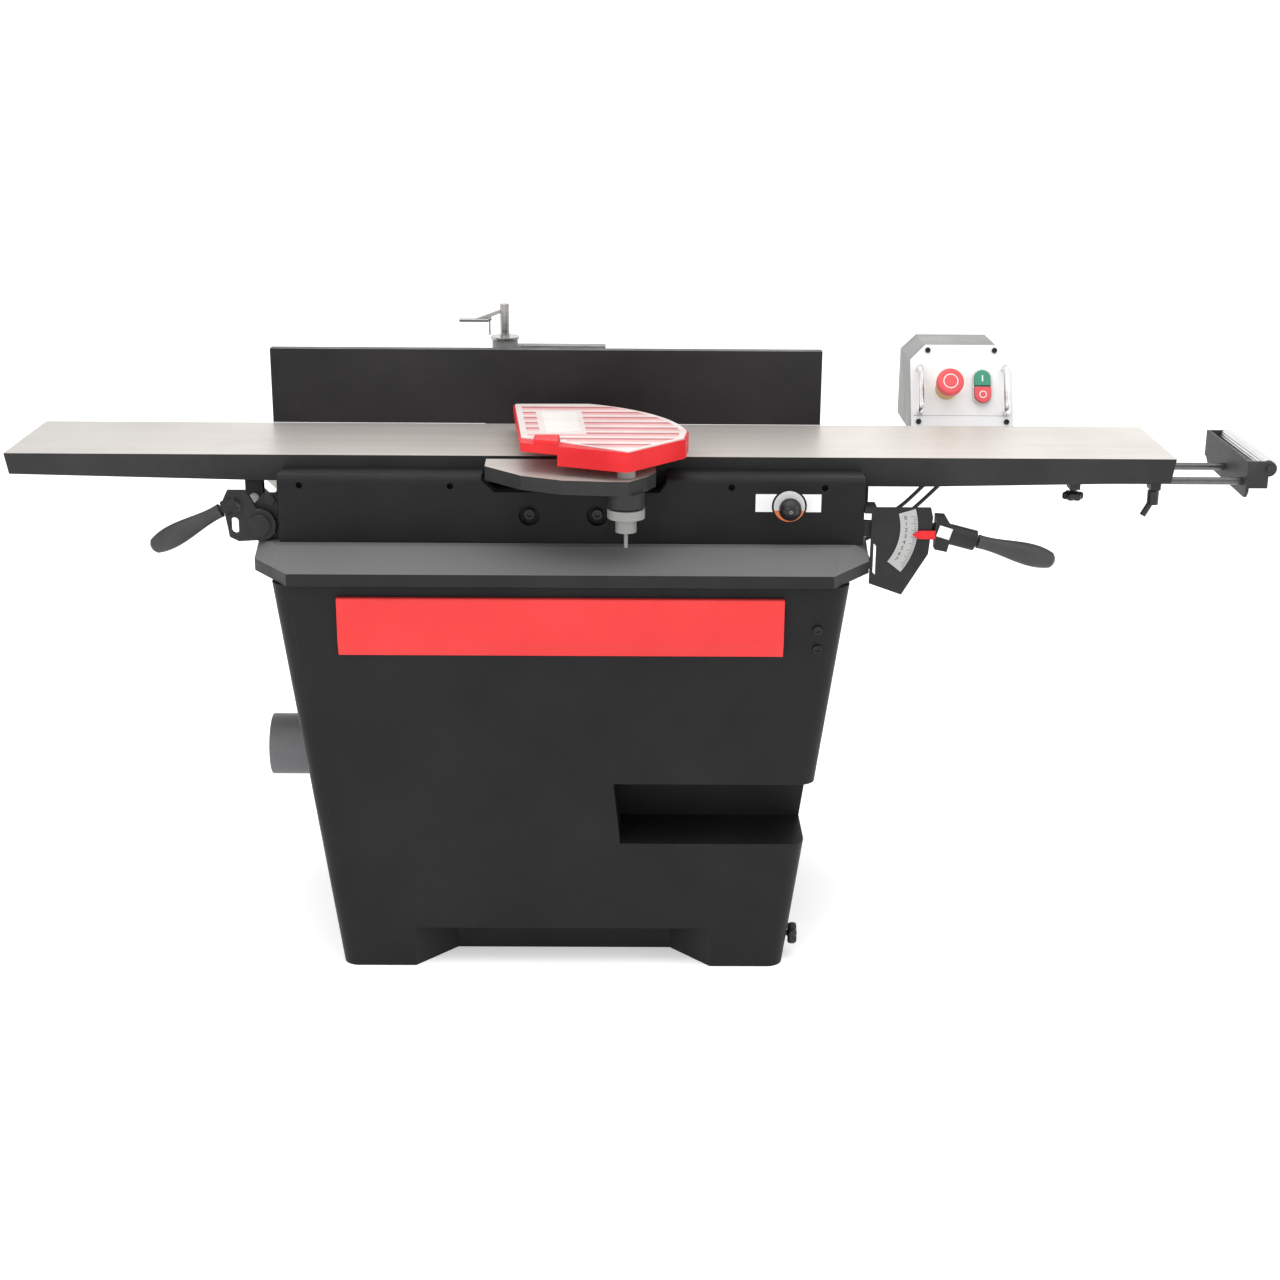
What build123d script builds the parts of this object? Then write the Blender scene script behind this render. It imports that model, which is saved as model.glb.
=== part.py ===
from build123d import *
import math
import os

# A 72-inch parallelogram jointer on a tapered steel cabinet.
# Millimetres. X to the right (infeed end), Y to the back (fence side), Z up.
# The origin is on the floor, in the middle of the four floor-bolt holes.

# ---- fits ----
RUNNING = 0.05          # radial clearance of a shaft in its bore
GAP = 0.4               # air between two pieces that slide past each other
TOUCH = 1.0             # how far one piece of a casting runs into the next

# ---- tables ----
TABLE_TOP = 800.0
TABLE_FRONT = -85.0
TABLE_WIDTH = 240.0
TABLE_BACK = TABLE_FRONT + TABLE_WIDTH
INFEED_LENGTH = 882.0
OUTFEED_LENGTH = 881.0
TABLE_PLATE = 14.0
TABLE_WALL = 10.0
INFEED_DEPTH = 46.0
INFEED_END_DEPTH = 38.0
OUTFEED_DEPTH = 41.0
OUTFEED_END_DEPTH = 33.0
LIP_SOLID = 62.0
LUG_THICK = 14.0
LUG_FRONT = 25.0        # from the table's front edge to the front lug

# ---- cutterhead ----
HEAD_X = 43.0
HEAD_RADIUS = 36.5
CUT_RADIUS = 38.0
HEAD_Z = TABLE_TOP - CUT_RADIUS
HEAD_RELIEF = 41.0
LIP_GAP = 33.0
JOURNAL = 10.0
BEARING_RADIUS = 21.0
BEARING_WIDTH = 12.0
BLOCK_HALF = 28.0
FRONT_BLOCK = 15.0
REAR_BLOCK = 24.0
INSERT_SIZE = 14.0
INSERT_ROWS = 6

# ---- table lift: cranks and links of one throw make a parallelogram ----
THROW = 31.0
THROW_ANGLE = 45.0
CRANK_SHAFT = 10.0
CRANK_PIN = 8.0
CRANK_PLATE = 14.0
EYE_WALL = 6.0
INFEED_LEVER_X = 445.0
OUTFEED_LEVER_X = -467.0
LEVER_Z = TABLE_TOP - 97.0
INFEED_LINK_X = 238.0
OUTFEED_LINK_X = -150.0

# ---- bed casting and plinth ----
BED_LEFT = -486.0
BED_RIGHT = 463.0
BED_WALL = 14.0
BED_FRONT = -133.0
BED_BACK = TABLE_BACK + 45.0
BED_FLOOR = 8.0
BED_TOP = TABLE_TOP - 24.0
BED_END_TOP = BED_TOP - 50.0
BED_BORE_BOSS = 7.0
PLINTH_TOP = TABLE_TOP - 123.0
PLINTH_BOTTOM = PLINTH_TOP - 39.0
PLINTH_BAND = 19.0
PLINTH_SEAL = 2.0       # height of the set-back strip the plinth stands on
PLINTH_SLOPE = 90.0
PLINTH_BACK = TABLE_BACK + 100.0
PLINTH_FRONT = -PLINTH_BACK - 3.0
PLINTH_HALF = BED_RIGHT + 10.0
PLINTH_CORNER = 62.0

# ---- cabinet ----
CABINET_TOP = PLINTH_BOTTOM - PLINTH_SEAL
CABINET_TOP_WIDTH = 2 * PLINTH_HALF - 69.0
CABINET_BOTTOM_WIDTH = 705.0
CABINET_DEPTH = 2 * PLINTH_BACK - 20.0
CABINET_CORNER = 25.0
SHEET = 3.0
FOOT_HOLE = 6.5
FOOT_HOLE_X = CABINET_BOTTOM_WIDTH / 2 - 42.5
FOOT_HOLE_Y = CABINET_DEPTH / 2 - 35.0
FOOT_PLATE = 5.0
FOOT_HALF = 44.0
TOE_HEIGHT = 67.0
TOE_WIDTH = 490.0
TOE_BACK_WIDTH = 346.0
TOE_DEPTH = 66.0
NICHE_LEFT = 80.0
NICHE_BOTTOM = 214.0
NICHE_TOP = 315.0
NICHE_DEPTH = 118.0
SIDE_KNOB_Y = 40.0 - CABINET_DEPTH / 2
SIDE_KNOB_Z = 40.0
SIDE_KNOB_SCREW = 4.0
PANEL_HALF = 338.0      # half width of the red panel
PANEL_DROP = 18.0       # from the cabinet's top to the red panel
PANEL_TALL = 91.0
DOOR_HALF = 190.0       # rear opening behind the access panel
DOOR_BOTTOM = 160.0
DOOR_TOP = CABINET_TOP - 166.0
DOOR_LAP = 15.0

# ---- front cover ----
COVER_LEFT = BED_LEFT + 49.0
COVER_RIGHT = BED_RIGHT + 2.0
COVER_FRONT = BED_FRONT - 17.0
COVER_TOP = TABLE_TOP - 18.0
COVER_SHEET = 2.5
COVER_BACK = -90.0
COVER_ROUND = 12.0
COVER_HOLE_Z = COVER_TOP - 15.0
COVER_HOLE = 5.0
RECESS_Z = PLINTH_TOP + 44.5
RECESS_RADIUS = 16.5

# ---- rabbeting ledge and guard ----
LEDGE_THICK = 22.0
LEDGE_FRONT = -253.0
GUARD_X = 98.0
GUARD_Y = -225.0
GUARD_POST = 8.0
GUARD_TOP = TABLE_TOP + 46.0
GUARD_SKIRT = 14.0
GUARD_DEEP = 31.0
GUARD_WALL = 4.0

# ---- fence ----
FENCE_LEFT = -492.0
FENCE_RIGHT = 422.0
FENCE_HEIGHT = 123.5
FENCE_PLATE = 10.0
FENCE_FLANGE = 20.0
FENCE_FLOAT = 0.5
HINGE_BACK = 19.0       # from the fence face to the tilt axis
HINGE_UP = 9.0          # from the table top to the tilt axis
HINGE_PIN = 3.5
QUADRANT = 105.0
SLOT_RADIUS = 95.0
LOCK_ANGLE = 42.0
TILT = 45.0
FENCE_TRAVEL = 50.0
LOCK_BOLT = 4.0
POST_X = -112.0
POST_Y = TABLE_BACK + 145.0
POST_RADIUS = 8.0
CARRIAGE_LEFT = -84.0
CARRIAGE_RIGHT = 61.0
CARRIAGE_BACK = TABLE_BACK + 175.0
SUPPORT_PLATE = 8.0

# ---- drive ----
BELT_Y = BED_BACK + 16.0
BELT_WIDTH = 12.0
HEAD_PULLEY = 25.0
MOTOR_PULLEY = 38.0
BELT_THICK = 3.0
BELT_COVER_TOP = HEAD_Z + HEAD_PULLEY + BELT_THICK + 2.5
SUPPORT_TOP = BELT_COVER_TOP + 2.5 + SUPPORT_PLATE
MOTOR_X = 100.0
MOTOR_Z = CABINET_TOP - 206.0
MOTOR_RADIUS = 85.0
MOTOR_FRONT = -20.0
MOTOR_LENGTH = 205.0
SHELF_Z = MOTOR_Z - 94.0
SHELF_HALF = 120.0
SHELF_THICK = 4.0

# ---- dust ----
PORT_RADIUS = 50.8
PORT_WALL = 3.0
PORT_Z = 286.0
PORT_END = -490.0
PORT_SPIGOT = 82.0      # free length outside the shoulder
PORT_FLANGE = 68.0
PORT_CUT = PORT_RADIUS  # half side of the square hole behind the flange
CHUTE_WALL = 2.0
CHUTE_HALF = 62.0       # half width of the mouth under the cutterhead

# ---- control box ----
BOX_X = 670.0
BOX_WIDTH = 174.0
BOX_BOTTOM = TABLE_TOP - 25.0
BOX_FRONT = TABLE_BACK + 50.0
BOX_BACK = TABLE_BACK + 235.0
BOX_HEIGHT = 140.0
BOX_LEAN = 70.0
BOX_CHAMFER = 26.0
BOX_WALL = 2.5
PANEL_THICK = 3.0
PANEL_SLOPE = math.degrees(math.atan2(BOX_LEAN, BOX_HEIGHT))
PANEL_RISE = math.hypot(BOX_LEAN, BOX_HEIGHT)
ESTOP_U = -26.5
ESTOP_V = 79.0
ESTOP_STEM = 9.0
COLLAR_HEIGHT = 30.0
PILL_U = 34.0
PILL_V = 81.0
PILL_LONG = 57.0        # outline that the two buttons share
PILL_WIDE = 27.5
PILL_FLOOR = 2.0
BUTTON_STEM = 7.0
BUTTON_STEP = 14.0      # from the middle of the pill to each stem
BUTTON_TRAVEL = 2.5
ARM_Y = BED_BACK + 82.0
ARM_HALF = 20.0
ARM_BOTTOM = LEVER_Z - 11.0
ARM_TOP = LEVER_Z + 27.0
CABLE = 3.4
CABLE_Y = TABLE_BACK + 85.0

# ---- roller extension ----
ROD_RADIUS = 6.0
ROD_Z = TABLE_TOP - 40.0
ROD_FRONT = TABLE_FRONT + 25.0
ROD_BACK = TABLE_FRONT + 125.0
ROD_OUT = 112.0
ROD_IN = 258.0
ROD_SCREW = 4.0
ROLLER_RADIUS = 14.0
ROLLER_OFFSET = 34.0
ROLLER_AXLE = 5.0
ROLLER_PLATE = 5.0

# ---- depth stop knob and scale ----
KNOB_X = 349.0
KNOB_Z = TABLE_TOP - 62.0
KNOB_SHANK = 6.0
SCALE_X = 437.0
SCALE_Z = LEVER_Z + 1.0

# ---- levers ----
LEVER_PLATE_FRONT = COVER_FRONT + 3.0
LEVER_PLATE = 9.0
GRIP_LENGTH = 124.0
GRIP_RADIUS = 16.0
INFEED_LEVER_DROP = 14.5
OUTFEED_LEVER_DROP = 28.7
INFEED_HANDLE = (603.0, LEVER_Z - 10.7)
OUTFEED_HANDLE = (-500.0, LEVER_Z + 36.5)
LEVER_NECK = 7.0

LIP_INFEED = HEAD_X + LIP_GAP
LIP_OUTFEED = HEAD_X - LIP_GAP
INFEED_END = LIP_INFEED + INFEED_LENGTH
OUTFEED_END = LIP_OUTFEED - OUTFEED_LENGTH
THROW_X = THROW * math.cos(math.radians(THROW_ANGLE))
THROW_Z = THROW * math.sin(math.radians(THROW_ANGLE))
BED_FLOOR_TOP = PLINTH_TOP + BED_FLOOR
SADDLE_TOP = HEAD_Z - BLOCK_HALF
UNDER_PLATE = TABLE_TOP - TABLE_PLATE
HINGE_Y = TABLE_BACK + HINGE_BACK
HINGE_Z = TABLE_TOP + HINGE_UP
ROLLER_X = INFEED_END + ROD_OUT + ROLLER_OFFSET


# ---- plain shapes ----

def block(x0, x1, y0, y1, z0, z1):
    """Box between two corners."""
    middle = Pos((x0 + x1) / 2, (y0 + y1) / 2, (z0 + z1) / 2)
    return middle * Box(x1 - x0, y1 - y0, z1 - z0)


def bar_x(x0, x1, y, z, radius):
    """Round bar along X."""
    return Pos((x0 + x1) / 2, y, z) * Rot(0, 90, 0) * Cylinder(radius, x1 - x0)


def bar_y(y0, y1, x, z, radius):
    """Round bar along Y."""
    return Pos(x, (y0 + y1) / 2, z) * Rot(90, 0, 0) * Cylinder(radius, y1 - y0)


def bar_z(z0, z1, x, y, radius):
    """Round bar along Z."""
    return Pos(x, y, (z0 + z1) / 2) * Cylinder(radius, z1 - z0)


def slab_x(outline, x0, x1):
    """(y, z) outline drawn out along X."""
    face = Face(Wire.make_polygon([(x0, y, z) for y, z in outline]))
    return extrude(face, amount=x1 - x0, dir=(1, 0, 0))


def slab_y(outline, y0, y1):
    """(x, z) outline drawn out along Y."""
    face = Face(Wire.make_polygon([(x, y0, z) for x, z in outline]))
    return extrude(face, amount=y1 - y0, dir=(0, 1, 0))


def slab_z(outline, z0, z1):
    """(x, y) outline drawn out along Z."""
    face = Face(Wire.make_polygon([(x, y, z0) for x, y in outline]))
    return extrude(face, amount=z1 - z0, dir=(0, 0, 1))


def eye_plate(y0, y1, start, end, start_radius, end_radius):
    """Flat link from one (x, z) eye to another."""
    run = math.dist(start, end)
    turn = math.degrees(math.atan2(end[1] - start[1], end[0] - start[0]))
    web = Pos(run / 2, 0, 0) * Box(run, y1 - y0, 2 * min(start_radius, end_radius))
    web = Pos(start[0], (y0 + y1) / 2, start[1]) * Rot(0, -turn, 0) * web
    near = bar_y(y0, y1, start[0], start[1], start_radius)
    far = bar_y(y0, y1, end[0], end[1], end_radius)
    return near + web + far


def cap_screw(frame, radius, height, socket):
    """Socket screw head standing on a plane."""
    head = Pos(0, 0, height / 2) * Cylinder(radius, height)
    hexagon = extrude(RegularPolygon(socket, 6), amount=height)
    return frame * (head - Pos(0, 0, height / 2) * hexagon)


def star_knob(lobes, radius, height):
    """Lobed hand knob on Z, standing on its hub."""
    knob = Cylinder(radius * 0.8, height)
    for turn in range(lobes):
        knob += Rot(0, 0, turn * 360 / lobes) * Pos(radius * 0.76, 0, 0) * Cylinder(radius * 0.24, height)
    return Pos(0, 0, height / 2) * knob


# ---- tables ----

def table_ribs(lip, end, heading):
    """X of each cross rib, from the lip to the end."""
    first = lip + heading * LIP_SOLID
    last = end - heading * TABLE_WALL
    count = 6
    return [first + (last - first) * number / count for number in range(count + 1)]


def table_casting(lip, end, heading, depth, end_depth):
    """Ribbed table; heading is +1 for infeed and -1 for outfeed."""
    far_corner = end - heading * 6
    outline = [(lip, TABLE_TOP), (end, TABLE_TOP), (far_corner, TABLE_TOP - end_depth),
               (lip + heading * (abs(end - lip) * 0.55), TABLE_TOP - depth), (lip, TABLE_TOP - depth)]
    table = slab_y(outline, TABLE_FRONT, TABLE_BACK)
    ribs = table_ribs(lip, end, heading)
    inside_front = TABLE_FRONT + TABLE_WALL
    inside_back = TABLE_BACK - TABLE_WALL
    half_rib = TABLE_WALL / 2
    for near, far in zip(ribs, ribs[1:]):
        low, high = sorted((near, far))
        table -= block(low + half_rib, high - half_rib, inside_front, inside_back,
                       TABLE_TOP - depth - TOUCH, UNDER_PLATE)
    return table - bar_y(TABLE_FRONT - TOUCH, TABLE_BACK + TOUCH, HEAD_X, HEAD_Z, HEAD_RELIEF)


def lug_places():
    """Y span of the front and the back lug under a table."""
    front = TABLE_FRONT + LUG_FRONT
    back = TABLE_BACK - LUG_FRONT
    return [(front, front + LUG_THICK), (back - LUG_THICK, back)]


def pin_lug(pin_x, pin_z, span):
    """Lug under the table plate with a running bore."""
    y0, y1 = span
    radius = CRANK_PIN + EYE_WALL
    lug = block(pin_x - radius, pin_x + radius, y0, y1, pin_z, UNDER_PLATE + TOUCH)
    lug += bar_y(y0, y1, pin_x, pin_z, radius)
    return lug


def add_lugs(table, pins):
    """Clears the swing of the cranks, then hangs and bores the lugs."""
    table -= crank_clearance(pins)
    for pin_x, pin_z in pins:
        for y0, y1 in lug_places():
            table += pin_lug(pin_x, pin_z, (y0, y1))
            table -= bar_y(y0 - TOUCH, y1 + TOUCH, pin_x, pin_z, CRANK_PIN + RUNNING)
    return table


def crank_places():
    """Y span of the crank plates, just inside the lugs."""
    (_, front), (back, _) = lug_places()
    return [(front + 2, front + 2 + CRANK_PLATE), (back - 2 - CRANK_PLATE, back - 2)]


def crank_set(shaft_x, shaft_z, heading, y0, y1):
    """Cross shaft with two cranks and their pins, one piece."""
    pin = (shaft_x + heading * THROW_X, shaft_z + THROW_Z)
    shaft = bar_y(y0, y1, shaft_x, shaft_z, CRANK_SHAFT)
    cranks = crank_places()
    lugs = lug_places()
    for plate in cranks:
        shaft += eye_plate(plate[0], plate[1], (shaft_x, shaft_z), pin,
                           CRANK_SHAFT + EYE_WALL, CRANK_PIN + EYE_WALL)
    shaft += bar_y(lugs[0][0] - 2, cranks[0][1], pin[0], pin[1], CRANK_PIN)
    shaft += bar_y(cranks[1][0], lugs[1][1] + 2, pin[0], pin[1], CRANK_PIN)
    return shaft


def infeed_pins():
    return [(INFEED_LEVER_X + THROW_X, LEVER_Z + THROW_Z), (INFEED_LINK_X + THROW_X, LEVER_Z + THROW_Z)]


def outfeed_pins():
    return [(OUTFEED_LEVER_X - THROW_X, LEVER_Z + THROW_Z), (OUTFEED_LINK_X - THROW_X, LEVER_Z + THROW_Z)]


def crank_clearance(pins):
    """Room in the ribs for each crank and its swing."""
    (front, _), (_, back) = crank_places()
    radius = THROW + CRANK_PIN + EYE_WALL + 2
    room = None
    for pin_x, pin_z in pins:
        piece = block(pin_x - radius, pin_x + radius, front - 1, back + 1, 0, UNDER_PLATE)
        room = piece if room is None else room + piece
    return room


def infeed_table():
    table = table_casting(LIP_INFEED, INFEED_END, 1, INFEED_DEPTH, INFEED_END_DEPTH)
    table = add_lugs(table, infeed_pins())
    for rod_y in (ROD_FRONT, ROD_BACK):
        for boss_x in rod_bosses():
            boss = block(boss_x - 8, boss_x + 8, rod_y - 13, rod_y + 13, ROD_Z - 13, UNDER_PLATE + TOUCH)
            table += boss
        table -= bar_x(INFEED_END - ROD_IN - 140, INFEED_END + TOUCH, rod_y, ROD_Z, ROD_RADIUS + RUNNING)
    for x in rod_bosses():
        table -= bar_z(ROD_Z - 60, ROD_Z - ROD_RADIUS, x, ROD_FRONT, ROD_SCREW + GAP)
    return table


def rod_bosses():
    """X of the two bosses whose thumb screws lock the rods."""
    return (INFEED_END - 153, INFEED_END - 26)


def outfeed_table():
    table = table_casting(LIP_OUTFEED, OUTFEED_END, -1, OUTFEED_DEPTH, OUTFEED_END_DEPTH)
    return add_lugs(table, outfeed_pins())


# ---- ledge and guard ----

def rabbeting_ledge():
    """Side ledge that carries the stock past the cutterhead and holds the guard."""
    gap = TABLE_FRONT - 21
    left = HEAD_X - 162
    outline = [(left, gap), (left + 1, gap - 49), (left + 60, gap - 111), (GUARD_X - 97, gap - 139),
               (GUARD_X - 28, LEDGE_FRONT), (GUARD_X + 4, LEDGE_FRONT), (GUARD_X + 31, GUARD_Y + 4),
               (GUARD_X + 45, GUARD_Y + 35), (GUARD_X + 45, TABLE_FRONT), (LIP_INFEED + 6, TABLE_FRONT),
               (LIP_INFEED + 6, gap)]
    ledge = slab_z(outline, TABLE_TOP - LEDGE_THICK, TABLE_TOP)
    boss = bar_z(TABLE_TOP - 44, TABLE_TOP - LEDGE_THICK + TOUCH, GUARD_X, GUARD_Y, 28)
    ledge += boss
    ledge -= bar_z(TABLE_TOP - 50, TABLE_TOP + TOUCH, GUARD_X, GUARD_Y, GUARD_POST + RUNNING)
    return ledge


def guard_outline(inset):
    """Pork-chop plan of the guard, set in by a wall."""
    face = make_face([
        Line((GUARD_X + 2, GUARD_Y - 34), (GUARD_X - 159, GUARD_Y + 30)),
        Line((GUARD_X - 159, GUARD_Y + 30), (GUARD_X - 186, GUARD_Y + 322)),
        Line((GUARD_X - 186, GUARD_Y + 322), (GUARD_X - 60, GUARD_Y + 325)),
        ThreePointArc((GUARD_X - 60, GUARD_Y + 325), (GUARD_X + 61, GUARD_Y + 217),
                      (GUARD_X + 96, GUARD_Y + 116)),
        Line((GUARD_X + 96, GUARD_Y + 116), (GUARD_X + 90, GUARD_Y + 64)),
        Line((GUARD_X + 90, GUARD_Y + 64), (GUARD_X + 2, GUARD_Y - 34)),
    ])
    face = fillet(face.vertices(), 9)
    return offset(face, amount=-inset) if inset else face


def guard_body():
    """Hollow red cover, deeper on the pivot side."""
    low = GUARD_TOP - GUARD_DEEP
    skirt = GUARD_TOP - GUARD_SKIRT
    top = GUARD_TOP - 2
    body = Pos(0, 0, low) * extrude(guard_outline(0), amount=top - low)
    body -= block(GUARD_X - 220, GUARD_X - 103, GUARD_Y - 60, GUARD_Y + 350, low - TOUCH, skirt)
    hollow = Pos(0, 0, low - TOUCH) * extrude(guard_outline(GUARD_WALL), amount=top - low - GUARD_WALL + TOUCH)
    body -= hollow
    partition = block(GUARD_X - 103, GUARD_X - 103 + GUARD_WALL, GUARD_Y - 60, GUARD_Y + 350,
                      low, skirt + TOUCH)
    body += partition & (Pos(0, 0, low) * extrude(guard_outline(1), amount=GUARD_DEEP))
    body += bar_z(low, top, GUARD_X, GUARD_Y, 20)
    body -= bar_z(low - TOUCH, top - GUARD_WALL, GUARD_X, GUARD_Y, GUARD_POST)
    lip = (Pos(0, 0, top - TOUCH) * extrude(guard_outline(0), amount=GUARD_TOP - top)) & plate_front()
    return body + lip + nub_block()


def nub_block():
    """Raised thumb stop at the left front of the guard."""
    outline = [(GUARD_X - 139, GUARD_Y + 60), (GUARD_X - 139, GUARD_Y + 23), (GUARD_X - 101, GUARD_Y + 8),
               (GUARD_X - 101, GUARD_Y + 60)]
    nub = slab_z(outline, GUARD_TOP - 4, GUARD_TOP + 6)
    return chamfer(nub.edges().group_by(Axis.Z)[-1], 2)


def plate_front():
    """Strip in front of the top plate, widest at the left."""
    return slab_z([(GUARD_X - 190, GUARD_Y + 65), (GUARD_X - 163, GUARD_Y + 65), (GUARD_X - 96, GUARD_Y + 33),
                   (GUARD_X, GUARD_Y - 29), (GUARD_X, GUARD_Y - 60), (GUARD_X - 190, GUARD_Y - 60)],
                  GUARD_TOP - 4, GUARD_TOP + 4)


def guard_plate():
    """Flat top plate of the guard."""
    plate = Pos(0, 0, GUARD_TOP - 2) * extrude(guard_outline(3), amount=2)
    around_nub = block(GUARD_X - 140, GUARD_X - 100, GUARD_Y - 60, GUARD_Y + 61, GUARD_TOP - 4, GUARD_TOP + 4)
    return plate - plate_front() - around_nub


def guard_post():
    """Vertical post with its shoulder, spring collar and hub."""
    top = GUARD_TOP - 2 - GUARD_WALL
    collar = TABLE_TOP - 47
    post = bar_z(collar - 61, top, GUARD_X, GUARD_Y, GUARD_POST)
    post -= bar_z(collar - 62, collar - 36, GUARD_X, GUARD_Y, GUARD_POST * 2)
    post += bar_z(collar - 61, collar - 35, GUARD_X, GUARD_Y, 3)
    post += bar_z(TABLE_TOP + 0.5, GUARD_TOP - GUARD_DEEP, GUARD_X, GUARD_Y, 14)
    post += bar_z(collar - 14, collar, GUARD_X, GUARD_Y, 28.5)
    post += bar_z(collar - 36, collar - 13, GUARD_X, GUARD_Y, 16)
    return post


# ---- cutterhead and drive ----

def cutterhead():
    """Head body with its journals and the flats that carry the inserts."""
    front = TABLE_FRONT + 1
    back = TABLE_BACK - 1
    head = bar_y(front, back, HEAD_X, HEAD_Z, HEAD_RADIUS)
    for seat in insert_seats():
        head -= seat * Pos(0, 0, 5) * Box(INSERT_SIZE + 1, INSERT_SIZE + 1, 10)
    head += bar_y(TABLE_FRONT - 17, BELT_Y + BELT_WIDTH, HEAD_X, HEAD_Z, JOURNAL)
    return head


def insert_seats():
    """Frames of the cutter inserts along a gentle helix."""
    pitch = INSERT_SIZE + 3
    count = int((TABLE_WIDTH - 8) / pitch)
    seats = []
    for row in range(INSERT_ROWS):
        for number in range(count):
            turn = row * 360 / INSERT_ROWS + number * 60 / count
            along = TABLE_FRONT + 4 + pitch * (number + 0.5)
            seats.append(Pos(HEAD_X, along, HEAD_Z) * Rot(0, turn, 0) * Pos(0, 0, HEAD_RADIUS - 3))
    return seats


def cutter_inserts():
    """Square carbide inserts with one screw hole each."""
    half = INSERT_SIZE / 2
    insert = Pos(0, 0, 1.5) * Box(INSERT_SIZE, INSERT_SIZE, 3) - Cylinder(2, 8)
    insert += Pos(half - 2, 0, 2.1) * Box(3, INSERT_SIZE, 4.2)
    return Compound([seat * insert for seat in insert_seats()])


def pulley(x, z, radius, bore):
    """Poly-V pulley with two rims."""
    half = BELT_WIDTH / 2
    wheel = bar_y(BELT_Y - half - 2, BELT_Y + half + 2, x, z, radius)
    wheel -= bar_y(BELT_Y - half - 3, BELT_Y + half + 3, x, z, bore)
    return wheel


def head_pulley():
    return pulley(HEAD_X, HEAD_Z, HEAD_PULLEY, JOURNAL)


def motor_pulley():
    wheel = pulley(MOTOR_X, MOTOR_Z, MOTOR_PULLEY, 12)
    return wheel + bar_y(MOTOR_FRONT + MOTOR_LENGTH + GAP, BELT_Y + BELT_WIDTH, MOTOR_X, MOTOR_Z, 12)


def drive_belt():
    """Belt along the two outer tangents of the pulleys."""
    run = math.dist((HEAD_X, HEAD_Z), (MOTOR_X, MOTOR_Z))
    lean = math.asin((MOTOR_PULLEY - HEAD_PULLEY) / run)
    heading = math.atan2(MOTOR_Z - HEAD_Z, MOTOR_X - HEAD_X)
    half = BELT_WIDTH / 2
    solids = []
    for extra in (BELT_THICK, GAP):
        corners = []
        for side in (1, -1):
            normal = heading + side * (math.pi / 2 + lean)
            ends = [(HEAD_X, HEAD_Z, HEAD_PULLEY), (MOTOR_X, MOTOR_Z, MOTOR_PULLEY)]
            if side < 0:
                ends.reverse()
            for x, z, radius in ends:
                reach = radius + extra
                corners.append((x + reach * math.cos(normal), z + reach * math.sin(normal)))
        loop = slab_y(corners, BELT_Y - half, BELT_Y + half)
        loop += bar_y(BELT_Y - half, BELT_Y + half, HEAD_X, HEAD_Z, HEAD_PULLEY + extra)
        loop += bar_y(BELT_Y - half, BELT_Y + half, MOTOR_X, MOTOR_Z, MOTOR_PULLEY + extra)
        solids.append(loop)
    return solids[0] - solids[1]


def block_spans():
    """Y span of the front and the rear bearing block."""
    front = TABLE_FRONT - 3
    rear = TABLE_BACK + 5
    return [(front - FRONT_BLOCK, front), (rear, rear + REAR_BLOCK)]


def bearing_blocks():
    """Two blocks that hold the cutterhead's bearings."""
    blocks = []
    for y0, y1 in block_spans():
        piece = block(HEAD_X - BLOCK_HALF, HEAD_X + BLOCK_HALF, y0, y1, SADDLE_TOP, HEAD_Z)
        piece += bar_y(y0, y1, HEAD_X, HEAD_Z, BLOCK_HALF)
        piece -= bar_y(y0 - TOUCH, y1 + TOUCH, HEAD_X, HEAD_Z, BEARING_RADIUS)
        blocks.append(piece)
    return Compound(blocks)


def head_bearings():
    """Ball bearings, each as one shielded ring."""
    rings = []
    for y0, y1 in block_spans():
        middle = (y0 + y1) / 2
        ring = bar_y(middle - BEARING_WIDTH / 2, middle + BEARING_WIDTH / 2, HEAD_X, HEAD_Z, BEARING_RADIUS)
        ring -= bar_y(y0 - TOUCH, y1 + TOUCH, HEAD_X, HEAD_Z, JOURNAL + RUNNING)
        rings.append(ring)
    return Compound(rings)


def motor_body():
    """Finned motor with feet and a terminal box."""
    back = MOTOR_FRONT + MOTOR_LENGTH
    motor = bar_y(MOTOR_FRONT, back, MOTOR_X, MOTOR_Z, MOTOR_RADIUS - 8)
    fins = 24
    for number in range(fins):
        fin = Pos(0, 0, MOTOR_RADIUS - 6) * Box(3, MOTOR_LENGTH - 60, 12)
        motor += Pos(MOTOR_X, (MOTOR_FRONT + back) / 2, MOTOR_Z) * Rot(0, number * 360 / fins, 0) * fin
    motor += block(MOTOR_X - 60, MOTOR_X + 60, MOTOR_FRONT + 40, back - 40, SHELF_Z + SHELF_THICK, MOTOR_Z - 50)
    motor += block(MOTOR_X + 60, MOTOR_X + 115, MOTOR_FRONT + 60, back - 60, MOTOR_Z - 30, MOTOR_Z + 40)
    motor += bar_y(MOTOR_FRONT - 25, MOTOR_FRONT + TOUCH, MOTOR_X, MOTOR_Z, MOTOR_RADIUS - 14)
    return motor


def motor_shelf():
    """Shelf plate across the cabinet, with two stiffening flanges."""
    inside = CABINET_DEPTH / 2 - SHEET
    left = MOTOR_X - SHELF_HALF
    right = MOTOR_X + SHELF_HALF
    shelf = block(left, right, -inside, inside, SHELF_Z, SHELF_Z + SHELF_THICK)
    for x0 in (left, right - SHELF_THICK):
        shelf += block(x0, x0 + SHELF_THICK, -inside, inside, SHELF_Z - 16, SHELF_Z + TOUCH)
    return shelf


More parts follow.
